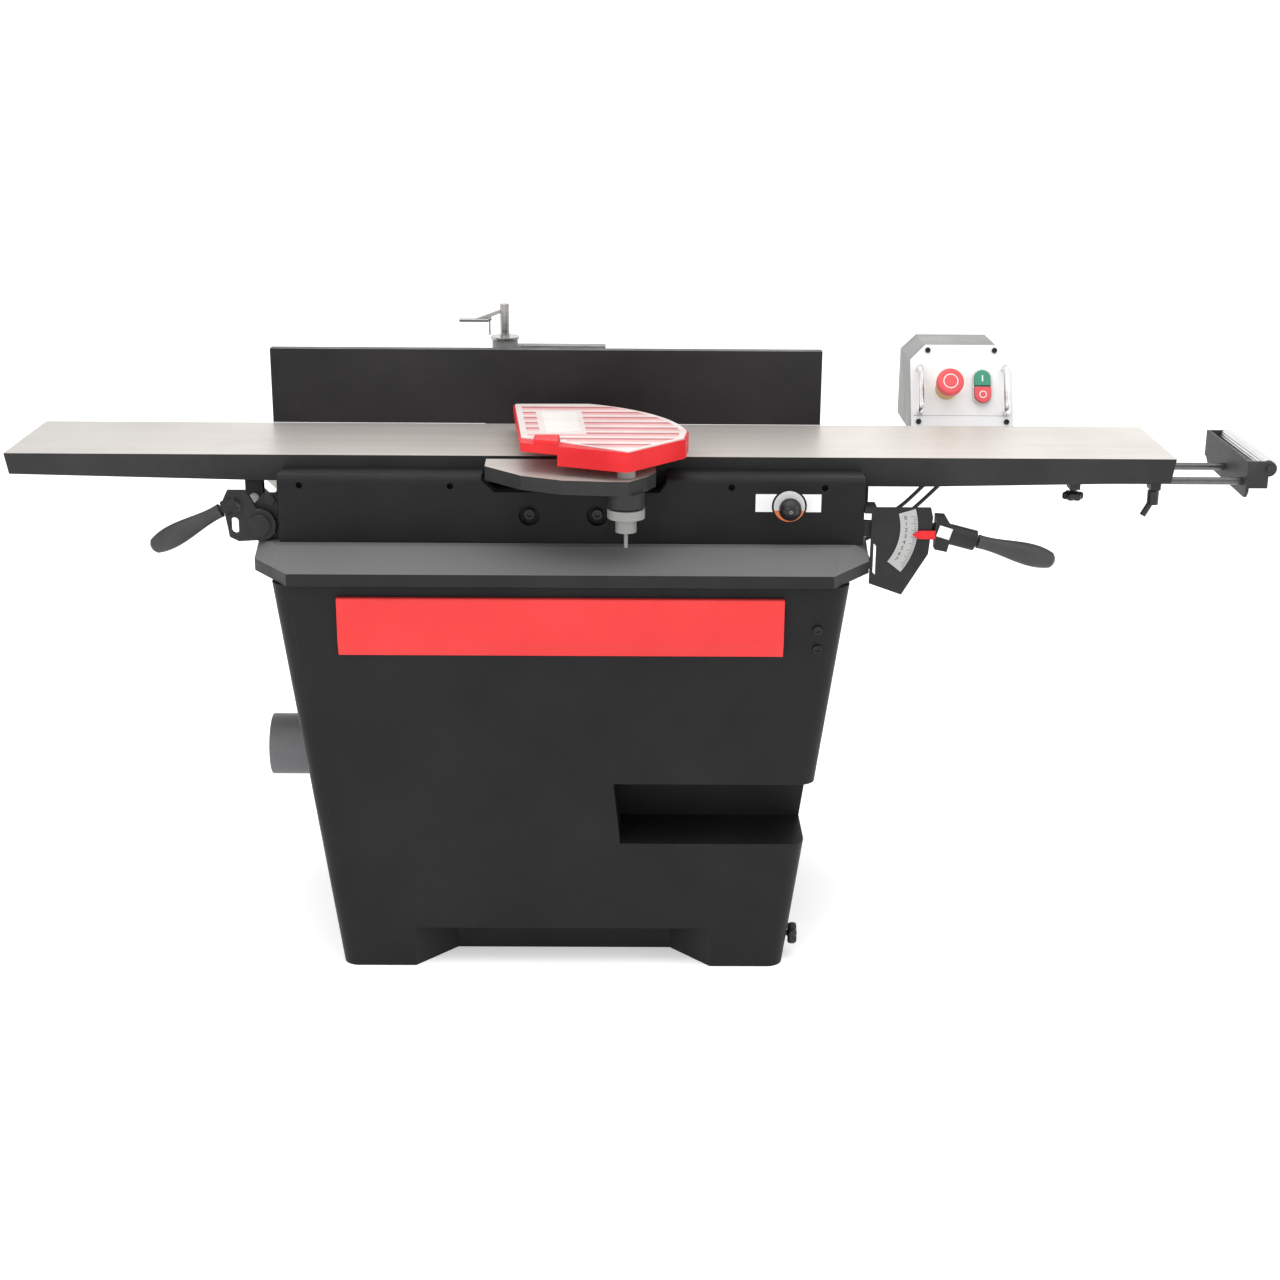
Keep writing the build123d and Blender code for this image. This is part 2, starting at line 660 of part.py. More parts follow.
def belt_guard():
    """Cover over the head pulley behind the bed."""
    left = HEAD_X - HEAD_PULLEY - 20
    right = HEAD_X + HEAD_PULLEY + 28
    back = BELT_Y + BELT_WIDTH + 6
    guard = block(left, right, BED_BACK, back, PLINTH_TOP, BELT_COVER_TOP)
    guard -= block(left + 2, right - 2, BED_BACK - TOUCH, back - 2, PLINTH_TOP - TOUCH, BELT_COVER_TOP - 1.5)
    return guard


# ---- bed, plinth and cover ----

def plinth_outline(front, corner):
    """Plan of the plinth with its front corners cut."""
    side = PLINTH_HALF
    return [(-side, front + corner * 1.4), (-side + corner, front), (side - corner, front),
            (side, front + corner * 1.4), (side, PLINTH_BACK - 20), (side - 20, PLINTH_BACK),
            (-side + 20, PLINTH_BACK), (-side, PLINTH_BACK - 20)]


def plinth_block():
    """Upright band below, sloping in towards the bed above."""
    band_top = PLINTH_BOTTOM + PLINTH_BAND
    foot = plinth_outline(PLINTH_FRONT, PLINTH_CORNER)
    crest = plinth_outline(PLINTH_FRONT + PLINTH_SLOPE, PLINTH_CORNER * 0.55)
    low = Face(Wire.make_polygon([(x, y, band_top) for x, y in foot]))
    high = Face(Wire.make_polygon([(x, y, PLINTH_TOP) for x, y in crest]))
    return slab_z(foot, PLINTH_BOTTOM, band_top) + loft([low, high], ruled=True)


def base_plinth():
    """Sloped tray between the cabinet and the bed, welded from four sides."""
    plinth = plinth_block()
    seal = CABINET_TOP_WIDTH / 2 - CABINET_CORNER
    plinth += block(-seal, seal, CABINET_CORNER - CABINET_DEPTH / 2, CABINET_DEPTH / 2 - CABINET_CORNER,
                    CABINET_TOP, PLINTH_BOTTOM + TOUCH)
    well_left = BED_LEFT + 45
    well_right = BED_RIGHT - 45
    well_front = BED_FRONT + 25
    well_back = BED_BACK - 22
    plinth -= block(well_left, well_right, well_front, well_back, CABINET_TOP - TOUCH, PLINTH_TOP + TOUCH)
    plinth -= block(HEAD_X - 58, MOTOR_X + 60, well_back - TOUCH, BELT_Y + 20,
                    CABINET_TOP - TOUCH, PLINTH_TOP + TOUCH)
    half_room = PLINTH_HALF - PLINTH_CORNER - 10
    plinth -= block(-half_room, half_room, PLINTH_FRONT + 40, well_front + TOUCH,
                    CABINET_TOP - TOUCH, PLINTH_BOTTOM + PLINTH_BAND - 4)
    reach = 2 * PLINTH_HALF
    sides = []
    for span in ((-reach, well_left, -reach, reach), (well_right, reach, -reach, reach),
                 (well_left, well_right, -reach, well_front), (well_left, well_right, well_back, reach)):
        sides += (plinth & block(*span, CABINET_TOP, PLINTH_TOP)).solids()
    return Compound(sides)


def base_casting():
    """Open trough of cast iron with bearing saddles and shaft bosses."""
    front_inside = BED_FRONT + BED_WALL
    back_inside = BED_BACK - BED_WALL
    bed = block(BED_LEFT, BED_RIGHT, BED_FRONT, BED_BACK, PLINTH_TOP, BED_FLOOR_TOP)
    for y0, y1 in ((BED_FRONT, front_inside), (back_inside, BED_BACK)):
        bed += block(COVER_LEFT + 6, BED_RIGHT, y0, y1, BED_FLOOR_TOP - TOUCH, BED_TOP)
        bed += block(BED_LEFT, COVER_LEFT + 7, y0, y1, BED_FLOOR_TOP - TOUCH, BED_END_TOP)
    for y0, y1 in block_spans():
        foot = (front_inside - TOUCH, y1) if y0 < HEAD_X - 100 else (y0, back_inside + TOUCH)
        bed += block(HEAD_X - BLOCK_HALF - 12, HEAD_X + BLOCK_HALF + 12, foot[0], foot[1],
                     BED_FLOOR_TOP - TOUCH, SADDLE_TOP)
    for rib_x in (HEAD_X - 130, HEAD_X + 132):
        bed += block(rib_x - 5, rib_x + 5, front_inside - TOUCH, back_inside + TOUCH,
                     BED_FLOOR_TOP - TOUCH, LEVER_Z + 2)
    for shaft_x, shaft_z in ((INFEED_LINK_X, LEVER_Z), (OUTFEED_LINK_X, LEVER_Z),
                             (INFEED_LEVER_X, LEVER_Z), (OUTFEED_LEVER_X, LEVER_Z)):
        bed += bar_y(front_inside - TOUCH, front_inside + 12, shaft_x, shaft_z, CRANK_SHAFT + BED_BORE_BOSS)
        bed += bar_y(back_inside - 12, back_inside + TOUCH, shaft_x, shaft_z, CRANK_SHAFT + BED_BORE_BOSS)
        bed -= bar_y(BED_FRONT - TOUCH, BED_BACK + TOUCH, shaft_x, shaft_z, CRANK_SHAFT + RUNNING)
    bed -= bar_y(BED_FRONT - TOUCH, BED_FRONT + 10, KNOB_X, KNOB_Z, KNOB_SHANK + RUNNING)
    bed -= block(HEAD_X - CHUTE_HALF + CHUTE_WALL, HEAD_X + CHUTE_HALF - CHUTE_WALL,
                 TABLE_FRONT + 17, TABLE_BACK - 17, PLINTH_TOP - TOUCH, BED_FLOOR_TOP + TOUCH)
    bed -= ledge_notch(BED_FRONT - TOUCH, front_inside + TOUCH)
    bed -= bar_y(back_inside - TOUCH, BED_BACK + TOUCH, HEAD_X, HEAD_Z, HEAD_PULLEY)
    return bed


def ledge_notch(y0, y1):
    """Room in the front wall and the cover for the ledge and its travel."""
    left = HEAD_X - 167
    right = GUARD_X + 62
    bottom = TABLE_TOP - LEDGE_THICK - 20
    return slab_y([(left, TABLE_TOP), (left, bottom + 18), (left + 20, bottom),
                   (right - 11, bottom), (right, bottom + 14), (right, TABLE_TOP)], y0, y1)


def cover_holes():
    """X of the access holes over the cross shafts' set screws."""
    return [OUTFEED_LINK_X - THROW_X, COVER_LEFT + 34, INFEED_LINK_X + THROW_X, COVER_RIGHT - 62]


def cover_recesses():
    """(x, z) of the two counterbored fixing screws."""
    return [(HEAD_X - 94, RECESS_Z), (HEAD_X + 10.5, RECESS_Z)]


def front_cover():
    """Bent sheet with a rounded top edge and a notch for the ledge."""
    bottom = PLINTH_TOP
    outer = block(COVER_LEFT, COVER_RIGHT, COVER_FRONT, COVER_BACK, bottom, COVER_TOP)
    rounded = outer.edges().filter_by(Axis.X).sort_by(Axis.Z)[-2:].sort_by(Axis.Y)[0]
    outer = fillet(rounded, COVER_ROUND)
    inner = block(COVER_LEFT - TOUCH, COVER_RIGHT + TOUCH, COVER_FRONT + COVER_SHEET, COVER_BACK + TOUCH,
                  bottom - TOUCH, COVER_TOP - COVER_SHEET)
    rounded = inner.edges().filter_by(Axis.X).sort_by(Axis.Z)[-2:].sort_by(Axis.Y)[0]
    inner = fillet(rounded, COVER_ROUND - COVER_SHEET)
    cover = outer - inner
    cover -= ledge_notch(COVER_FRONT - TOUCH, COVER_BACK + TOUCH)
    for x, z in cover_recesses():
        cover += bar_y(COVER_FRONT, BED_FRONT, x, z, RECESS_RADIUS + COVER_SHEET)
        cover -= bar_y(COVER_FRONT - TOUCH, BED_FRONT - 4, x, z, RECESS_RADIUS)
    for x in cover_holes():
        cover -= bar_y(COVER_FRONT - TOUCH, BED_FRONT, x, COVER_HOLE_Z, COVER_HOLE)
    return cover - bar_y(COVER_FRONT - TOUCH, BED_FRONT, KNOB_X, KNOB_Z, KNOB_SHANK + GAP)


def data_labels():
    """Blank data plate on the cover and the curved depth scale."""
    plate = block(KNOB_X - 52, KNOB_X + 49, COVER_FRONT - 0.8, COVER_FRONT, KNOB_Z - 9, KNOB_Z + 19)
    plate -= bar_y(COVER_FRONT - 2, COVER_FRONT + 2, KNOB_X, KNOB_Z, 27)
    front = sector_front() - 1
    ring = bar_y(front, front + 1, SCALE_X, SCALE_Z, 111) - bar_y(front - 1, front + 2, SCALE_X, SCALE_Z, 84)
    wedge = slab_y([(SCALE_X, SCALE_Z), (SCALE_X + 140, SCALE_Z + 42), (SCALE_X + 140, SCALE_Z - 110)],
                   front - 1, front + 2)
    return Compound([plate, ring & wedge])


# ---- knob on the cover and the levers' fixed brackets ----

def knob_ring():
    """Coloured ring behind the depth-stop knob."""
    ring = bar_y(COVER_FRONT - 3, COVER_FRONT, KNOB_X, KNOB_Z, 24)
    return ring - bar_y(COVER_FRONT - 4, COVER_FRONT + 1, KNOB_X, KNOB_Z, KNOB_SHANK + GAP)


def depth_stop_knob():
    """Ball knob on a short shank; it turns the depth stop."""
    front = COVER_FRONT - 3 - GAP
    knob = bar_y(front, BED_FRONT + 9, KNOB_X, KNOB_Z, KNOB_SHANK)
    knob += bar_y(front - 5, front, KNOB_X, KNOB_Z, 13)
    return knob + Pos(KNOB_X, front - 17, KNOB_Z) * Sphere(17.5)


def sector_front():
    return LEVER_PLATE_FRONT - 4 - 3


def scale_bracket():
    """Fan-shaped plate beside the infeed lever with its two fixing tabs."""
    y0 = sector_front()
    y1 = y0 + 3
    left = PLINTH_HALF + 3
    top = LEVER_Z + 35
    outline = [(left, top), (567, top), (571, top - 16), (566, top - 74), (527, top - 140), (left, top - 122)]
    plate = slab_y(outline, y0, y1)
    plate -= slab_y([(left + 5, top - 58), (left + 9, top - 62), (left + 9, top - 108), (left + 5, top - 104)],
                    y0 - 1, y1 + 1)
    plate += block(COVER_RIGHT + GAP, left + 8, y0, BED_FRONT + BED_WALL, top - 10, top)
    plate += block(BED_RIGHT, left + 8, LEVER_PLATE_FRONT, BED_FRONT + BED_WALL, top - 10, top)
    plate += block(PLINTH_HALF, PLINTH_HALF + 4, y0, BED_FRONT + 25, PLINTH_BOTTOM + 2, PLINTH_BOTTOM + 17)
    return plate


def outfeed_end_bracket():
    """Bearing plate at the outfeed end of the bed."""
    low = LEVER_Z - 13
    outline = [(BED_LEFT, low), (BED_LEFT, low + 34), (COVER_LEFT - 22, low + 62), (COVER_LEFT - 3, low + 62),
               (COVER_LEFT - 3, low)]
    plate = slab_y(outline, BED_FRONT - 3, BED_FRONT)
    plate += bar_y(BED_FRONT - 8, BED_FRONT - 2, COVER_LEFT - 14, low + 51, 8)
    return plate - bar_y(BED_FRONT - 10, BED_FRONT + 1, OUTFEED_LEVER_X, LEVER_Z, CRANK_SHAFT + GAP)


# ---- levers ----

def along_lever(angle, origin):
    """Frame whose X runs along a lever, tipped down by angle about Y."""
    x, z = origin
    return Pos(x, LEVER_PLATE_FRONT + LEVER_PLATE / 2, z) * Rot(0, angle, 0)


def lever_grip():
    """Moulded grip on X: waisted neck, full middle, domed end."""
    profile = make_face([
        Line((0, 0), (0, 11)),
        Spline((0, 11), (GRIP_LENGTH * 0.45, GRIP_RADIUS - 1), (GRIP_LENGTH * 0.85, GRIP_RADIUS),
               (GRIP_LENGTH - 4, GRIP_RADIUS - 4)),
        Line((GRIP_LENGTH - 4, GRIP_RADIUS - 4), (GRIP_LENGTH, GRIP_RADIUS - 9)),
        Line((GRIP_LENGTH, GRIP_RADIUS - 9), (GRIP_LENGTH, 0)),
        Line((GRIP_LENGTH, 0), (0, 0)),
    ])
    grip = revolve(profile, Axis.X)
    bore = Cylinder(LEVER_NECK + RUNNING, GRIP_LENGTH * 0.6 + 2)
    return grip - Pos(GRIP_LENGTH * 0.3 - TOUCH, 0, 0) * Rot(0, 90, 0) * bore


def infeed_lever_shaft():
    return crank_set(INFEED_LEVER_X, LEVER_Z, 1, LEVER_PLATE_FRONT + TOUCH, BED_BACK)


def outfeed_lever_shaft():
    return crank_set(OUTFEED_LEVER_X, LEVER_Z, -1, LEVER_PLATE_FRONT + TOUCH, BED_BACK)


def infeed_link():
    return crank_set(INFEED_LINK_X, LEVER_Z, 1, BED_FRONT + 1, BED_BACK)


def outfeed_link():
    return crank_set(OUTFEED_LINK_X, LEVER_Z, -1, BED_FRONT + 1, BED_BACK)


def infeed_lever_arm():
    """Bent arm behind the scale plate, with its clamp block and socket."""
    y0 = LEVER_PLATE_FRONT
    y1 = y0 + LEVER_PLATE
    arm = eye_plate(y0, y1, (INFEED_LEVER_X, LEVER_Z), (588, LEVER_Z - 6), 19, 12.5)
    arm -= bar_y(y0 + TOUCH, y1 + TOUCH, INFEED_LEVER_X, LEVER_Z, CRANK_SHAFT)
    block_outline = [(575, LEVER_Z + 23), (590, LEVER_Z + 22), (603, LEVER_Z + 1), (594, LEVER_Z - 35),
                     (575, LEVER_Z - 31)]
    arm += slab_y(block_outline, y0 - 10, y1)
    socket = Pos(14, 0, 0) * Rot(0, 90, 0) * Cylinder(16, 46)
    neck = Pos(41 + 18, 0, 0) * Rot(0, 90, 0) * Cylinder(LEVER_NECK, 90)
    return arm + along_lever(INFEED_LEVER_DROP, INFEED_HANDLE) * (socket + neck)


def infeed_grip():
    return along_lever(INFEED_LEVER_DROP, INFEED_HANDLE) * Pos(42, 0, 0) * lever_grip()


def depth_pointer():
    """Red arrow that reaches over the scale from the clamp block."""
    y1 = sector_front() - 1 - GAP
    y0 = y1 - 3
    z = LEVER_Z - 8
    return slab_y([(540, z), (550, z + 7), (575, z + 7), (575, z - 6), (550, z - 6)], y0, y1)


def outfeed_lever_plate():
    """Lobed lever plate with a long hole, and the handle socket."""
    y0 = LEVER_PLATE_FRONT
    y1 = y0 + LEVER_PLATE
    z = LEVER_Z
    outline = [(-470, z + 24), (-486, z + 54), (-515, z + 54), (-523, z + 37), (-517, z + 2), (-514, z - 19),
               (-500, z - 26), (-467, z - 24), (-443, z - 13)]
    plate = slab_y(outline, y0, y1) + bar_y(y0, y1, OUTFEED_LEVER_X, LEVER_Z, 25)
    plate -= bar_y(y0 + TOUCH, y1 + TOUCH, OUTFEED_LEVER_X, LEVER_Z, CRANK_SHAFT)
    hole = bar_y(y0 - 1, y1 + 1, -505, z - 8, 6) + bar_y(y0 - 1, y1 + 1, -505, z + 6, 6)
    plate -= hole + block(-511, -499, y0 - 1, y1 + 1, z - 8, z + 6)
    plate += bar_y(y0 - 6, y0 + TOUCH, -503, z + 30, 9)
    plate += bar_y(y0 - 5, y0 + TOUCH, OUTFEED_LEVER_X, LEVER_Z, 17)
    socket = Pos(12, 0, 0) * Rot(0, 90, 0) * Cylinder(12, 24)
    neck = Pos(24 + 30, 0, 0) * Rot(0, 90, 0) * Cylinder(LEVER_NECK, 62)
    return plate + along_lever(180 - OUTFEED_LEVER_DROP, OUTFEED_HANDLE) * (socket + neck)


def outfeed_grip():
    return along_lever(180 - OUTFEED_LEVER_DROP, OUTFEED_HANDLE) * Pos(30, 0, 0) * lever_grip()


# ---- roller extension ----

def roller_rods():
    rods = []
    for rod_y in (ROD_FRONT, ROD_BACK):
        rods.append(bar_x(INFEED_END - ROD_IN, INFEED_END + ROD_OUT, rod_y, ROD_Z, ROD_RADIUS))
    return Compound(rods)


def roller_bracket():
    """Cross plate on the rods with two ears for the roller."""
    x0 = INFEED_END + ROD_OUT
    x1 = x0 + ROLLER_PLATE
    plate = slab_x([(TABLE_FRONT, ROD_Z + 37), (TABLE_FRONT, ROD_Z - 12), (TABLE_FRONT + 8, ROD_Z - 22),
                    (TABLE_BACK - 30, ROD_Z - 18), (TABLE_BACK - 5, ROD_Z), (TABLE_BACK - 5, ROD_Z + 37)],
                   x0, x1)
    roller_z = TABLE_TOP - ROLLER_RADIUS
    for y0 in (TABLE_FRONT, TABLE_BACK - 5 - ROLLER_PLATE):
        ear = block(x0, ROLLER_X, y0, y0 + ROLLER_PLATE, ROD_Z - 6, TABLE_TOP - 3)
        ear += bar_y(y0, y0 + ROLLER_PLATE, ROLLER_X, roller_z - 1, 12)
        plate += ear
    for y0, y1 in ((TABLE_FRONT - 4, TABLE_FRONT + ROLLER_PLATE + 3), (TABLE_BACK - 13, TABLE_BACK - 1)):
        plate += bar_y(y0, y1, ROLLER_X, roller_z, ROLLER_AXLE)
    return plate


def roller():
    """Ribbed aluminium roller with its bored hub ends."""
    roller_z = TABLE_TOP - ROLLER_RADIUS
    y0 = TABLE_FRONT + ROLLER_PLATE + 1
    y1 = TABLE_BACK - 5 - ROLLER_PLATE - 1
    body = bar_y(y0, y1, ROLLER_X, roller_z, ROLLER_RADIUS)
    body -= bar_y(y0 - 1, y0 + 4, ROLLER_X, roller_z, ROLLER_AXLE + RUNNING)
    body -= bar_y(y1 - 4, y1 + 1, ROLLER_X, roller_z, ROLLER_AXLE + RUNNING)
    return body


def rod_lock_knob():
    """Star knob whose screw presses on the front rod."""
    x = rod_bosses()[0]
    top = ROD_Z - ROD_RADIUS - GAP
    screw = bar_z(ROD_Z - 20, top, x, ROD_FRONT, ROD_SCREW)
    return screw + Pos(x, ROD_FRONT, ROD_Z - 31) * star_knob(6, 17, 12)


def rod_lock_lever():
    """Ratchet lever whose screw presses on the front rod near the end."""
    x = rod_bosses()[1]
    top = ROD_Z - ROD_RADIUS - GAP
    screw = bar_z(ROD_Z - 17, top, x, ROD_FRONT, ROD_SCREW)
    hub = bar_z(ROD_Z - 38, ROD_Z - 16, x, ROD_FRONT, 9)
    tail = Pos(x, ROD_FRONT, ROD_Z - 30) * Rot(0, -62, 0) * Pos(-15, 0, 0) * Rot(0, 90, 0) * Cylinder(5, 30)
    return screw + hub + tail


# ---- fence ----

def fence_plate():
    """Fence with stiffening flanges, hinge lugs and the slotted tilt quadrant."""
    y0 = TABLE_BACK
    y1 = y0 + FENCE_PLATE
    z0 = TABLE_TOP + FENCE_FLOAT
    z1 = z0 + FENCE_HEIGHT
    fence = block(FENCE_LEFT, FENCE_RIGHT, y0, y1, z0, z1)
    fence += block(FENCE_LEFT, FENCE_RIGHT, y1 - TOUCH, y0 + FENCE_FLANGE, z1 - 9, z1)
    for x0, x1 in ((FENCE_LEFT, CARRIAGE_LEFT - 70), (CARRIAGE_RIGHT + 40, FENCE_RIGHT)):
        fence += block(x0, x1, y1 - TOUCH, y0 + FENCE_FLANGE, z0, z0 + 9)
    for x in hinge_places():
        fence += block(x - 14, x - 4, y1 - TOUCH, HINGE_Y, HINGE_Z - 7, HINGE_Z + 8)
        fence += bar_x(x - 14, x - 4, HINGE_Y, HINGE_Z, 8)
        fence += bar_x(x - 14, x + 6, HINGE_Y, HINGE_Z, HINGE_PIN)
    return fence + tilt_quadrant()


def hinge_places():
    """X where each carriage ear starts."""
    return (CARRIAGE_LEFT + 30, CARRIAGE_RIGHT - 22)


def wedge_points(start, end, reach):
    """Corners of a pie slice about the tilt axis, in (y, z)."""
    points = [(HINGE_Y, HINGE_Z)]
    for angle in (start, (start + end) / 2, end):
        turn = math.radians(angle)
        points.append((HINGE_Y + reach * math.cos(turn), HINGE_Z + reach * math.sin(turn)))
    return points


def tilt_quadrant():
    """Sector beside the carriage with a slot about the tilt axis."""
    x0 = CARRIAGE_RIGHT + 3
    x1 = x0 + 6
    low = LOCK_ANGLE - 4.6
    sector = bar_x(x0, x1, HINGE_Y, HINGE_Z, QUADRANT) & slab_x(wedge_points(low, 96, 200), x0, x1)
    half = LOCK_BOLT + 0.6
    ring = bar_x(x0 - 1, x1 + 1, HINGE_Y, HINGE_Z, SLOT_RADIUS + half)
    ring -= bar_x(x0 - 2, x1 + 2, HINGE_Y, HINGE_Z, SLOT_RADIUS - half)
    slot = ring & slab_x(wedge_points(LOCK_ANGLE, LOCK_ANGLE + TILT, 200), x0 - 1, x1 + 1)
    for angle in (LOCK_ANGLE, LOCK_ANGLE + TILT):
        y, z = lock_point(angle)
        slot += bar_x(x0 - 1, x1 + 1, y, z, half)
    sector += block(x0, x1, TABLE_BACK + FENCE_PLATE - TOUCH, HINGE_Y, HINGE_Z + 20, HINGE_Z + 104)
    return sector - slot - bar_x(x0 - 1, x1 + 1, HINGE_Y + 34, HINGE_Z + 52, 17)


def lock_point(angle):
    turn = math.radians(angle)
    return HINGE_Y + SLOT_RADIUS * math.cos(turn), HINGE_Z + SLOT_RADIUS * math.sin(turn)


def fence_carriage():
    """Casting that slides front to back and carries the fence."""
    bottom = SUPPORT_TOP + GAP
    front = HINGE_Y + 13
    body = block(CARRIAGE_LEFT, CARRIAGE_RIGHT, front, CARRIAGE_BACK, bottom, bottom + 12)
    body += block(CARRIAGE_LEFT, CARRIAGE_RIGHT, CARRIAGE_BACK - 24, CARRIAGE_BACK,
                  bottom + 11, TABLE_TOP + 105)
    for x in hinge_places():
        body += block(x, x + 10, HINGE_Y, front + TOUCH, bottom, HINGE_Z + 6.5)
        body += bar_x(x, x + 10, HINGE_Y, HINGE_Z, 7.5)
        body -= bar_x(x - 1, x + 11, HINGE_Y, HINGE_Z, HINGE_PIN + RUNNING)
    lock_y, lock_z = lock_point(LOCK_ANGLE)
    cheek = [(front + 6, bottom + 11), (lock_y - 7, lock_z - 7), (lock_y + 3, lock_z + 9.5),
             (CARRIAGE_BACK - 2, TABLE_TOP + 60), (CARRIAGE_BACK - 2, bottom + 11)]
    body += slab_x(cheek, CARRIAGE_RIGHT - 9, CARRIAGE_RIGHT)
    body += bar_x(CARRIAGE_RIGHT - 9, CARRIAGE_RIGHT, lock_y, lock_z, 10)
    body -= bar_x(CARRIAGE_RIGHT - 10, CARRIAGE_RIGHT + 1, lock_y, lock_z, LOCK_BOLT + RUNNING)
    key_front = TABLE_BACK + FENCE_TRAVEL + 4
    body += block(-8, 8, key_front, CARRIAGE_BACK - 4, bottom - 4, bottom + TOUCH)
    boss_top = TABLE_TOP + 118
    body += bar_z(bottom, boss_top, POST_X, POST_Y, 22)
    body += block(POST_X, CARRIAGE_LEFT + TOUCH, POST_Y - 12, POST_Y + 12, bottom, boss_top - 10)
    body -= bar_z(bottom - 5, boss_top + TOUCH, POST_X, POST_Y, POST_RADIUS + RUNNING)
    return body


def fence_tilt_lock():
    """Bolt through the quadrant with its ratchet handle."""
    y, z = lock_point(LOCK_ANGLE)
    inner = CARRIAGE_RIGHT - 9 - GAP
    outer = CARRIAGE_RIGHT + 9 + GAP
    lock = bar_x(inner, outer + 10, y, z, LOCK_BOLT)
    lock += bar_x(inner - 5, inner, y, z, 8)
    lock += bar_x(outer, outer + 16, y, z, 11)
    handle = Pos(outer + 10, y, z) * Rot(30, 0, 0) * Pos(0, 0, -34) * Cylinder(6, 56)
    return lock + handle


def fence_slide_lock():
    """Vertical clamp post with its T-head and cranked handle."""
    head_top = SUPPORT_TOP - SUPPORT_PLATE - GAP
    collar = TABLE_TOP + 118 + GAP
    top = TABLE_TOP + 178
    post = bar_z(head_top - TOUCH, top, POST_X, POST_Y, POST_RADIUS)
    post += bar_z(head_top - 8, head_top, POST_X, POST_Y, 13)
    post += bar_z(collar, collar + 4, POST_X, POST_Y, 25)
    drop = math.degrees(math.atan2(18, 48))
    arm = Pos(POST_X, POST_Y, top - 10) * Rot(0, -drop, 0) * Pos(-26, 0, 0) * Box(52, 7, 6)
    bar = bar_x(POST_X - 78, POST_X - 28, POST_Y, top - 28, 4)
    pin = bar_z(collar + 6, top - 22, POST_X - 26, POST_Y, 1.5)
    tip = Pos(POST_X - 26, POST_Y, top - 26) * Sphere(4)
    return post + arm + bar + pin + tip


def fence_support():
    """Bridge behind the bed with a key groove and a clamp slot."""
    z1 = SUPPORT_TOP
    z0 = z1 - SUPPORT_PLATE
    left = POST_X - 28
    right = CARRIAGE_RIGHT - 6
    back = CARRIAGE_BACK + 12
    front = BED_BACK - BED_WALL
    plate = block(left, right, front, back, z0, z1)
    for x0, x1 in ((left, HEAD_X - HEAD_PULLEY - 22), (right - 12, right + 30)):
        plate += block(x0, x1, front, BED_BACK, BED_TOP, z0 + TOUCH)
    for x in (left + 4, HEAD_X - HEAD_PULLEY - 26):
        gusset = [(BED_BACK, BED_TOP - 60), (BED_BACK, z0 + TOUCH), (back - 10, z0 + TOUCH)]
        plate += slab_x(gusset, x - 4, x + 4)
    plate -= block(-8 - GAP, 8 + GAP, front - TOUCH, back + TOUCH, z1 - 4.5, z1 + TOUCH)
    half = POST_RADIUS + 0.5
    plate -= block(POST_X - half, POST_X + half, POST_Y - FENCE_TRAVEL, POST_Y, z0 - 1, z1 + 1)
    for y in (POST_Y - FENCE_TRAVEL, POST_Y):
        plate -= bar_z(z0 - 1, z1 + 1, POST_X, y, half)
    return plate


# ---- cabinet ----

def tapered_block(inset):
    """Solid with the cabinet's taper, set in by inset on every side."""
    top = CABINET_TOP_WIDTH / 2 - inset
    bottom = CABINET_BOTTOM_WIDTH / 2 - inset
    half = CABINET_DEPTH / 2 - inset
    low = 0 if inset == 0 else -TOUCH
    high = CABINET_TOP - inset
    solid = slab_y([(-bottom, low), (-top, high), (top, high), (bottom, low)], -half, half)
    upright = [e for e in solid.edges() if abs(e.tangent_at(0.5).Z) > 0.9]
    return fillet(upright, max(CABINET_CORNER - inset, 3))


def cabinet_half_width(z):
    """Half width of the cabinet at a height."""
    bottom = CABINET_BOTTOM_WIDTH / 2
    return bottom + (CABINET_TOP_WIDTH / 2 - bottom) * z / CABINET_TOP


def toe_recess(grow):
    """Tapered kick space at the front of the cabinet."""
    front = -CABINET_DEPTH / 2 - 10
    back = front + 10 + TOE_DEPTH + grow
    half = TOE_WIDTH / 2 + grow
    half_back = TOE_BACK_WIDTH / 2 + grow
    return slab_z([(-half, front), (half, front), (half_back, back), (-half_back, back)],
                  -TOUCH, TOE_HEIGHT + grow)


def niche(grow):
    """Tray for push blocks, open to the front and to the right."""
    front = -CABINET_DEPTH / 2 - 10
    back = -CABINET_DEPTH / 2 + NICHE_DEPTH + grow
    slant = 11
    outline = [(NICHE_LEFT - grow, NICHE_TOP + grow), (CABINET_TOP_WIDTH, NICHE_TOP + grow),
               (CABINET_TOP_WIDTH, NICHE_BOTTOM - grow), (NICHE_LEFT - grow + slant, NICHE_BOTTOM - grow)]
    return slab_y(outline, front, back)


def cabinet_well():
    """Opening in the cabinet's top: its two X and its two Y."""
    return -PANEL_HALF - 2, MOTOR_X + 60, BED_FRONT + 40, BELT_Y + 18


def top_regions():
    """The top divided into four strips around its opening."""
    x0, x1, y0, y1 = cabinet_well()
    reach = CABINET_TOP_WIDTH
    strips = [(-reach, x0, -reach, reach), (x1, reach, -reach, reach),
              (x0, x1, -reach, y0), (x0, x1, y1, reach)]
    return [block(*strip, CABINET_TOP - SHEET, CABINET_TOP) for strip in strips]


def port_regions(wall):
    """The left wall divided into four strips around the dust port's hole."""
    reach = CABINET_TOP_WIDTH
    low, high = PORT_Z - PORT_CUT, PORT_Z + PORT_CUT
    strips = [(-reach, reach, 0, low), (-reach, reach, high, CABINET_TOP),
              (-reach, -PORT_CUT, low, high), (PORT_CUT, reach, low, high)]
    return [wall & block(-reach, 0, *strip) for strip in strips]


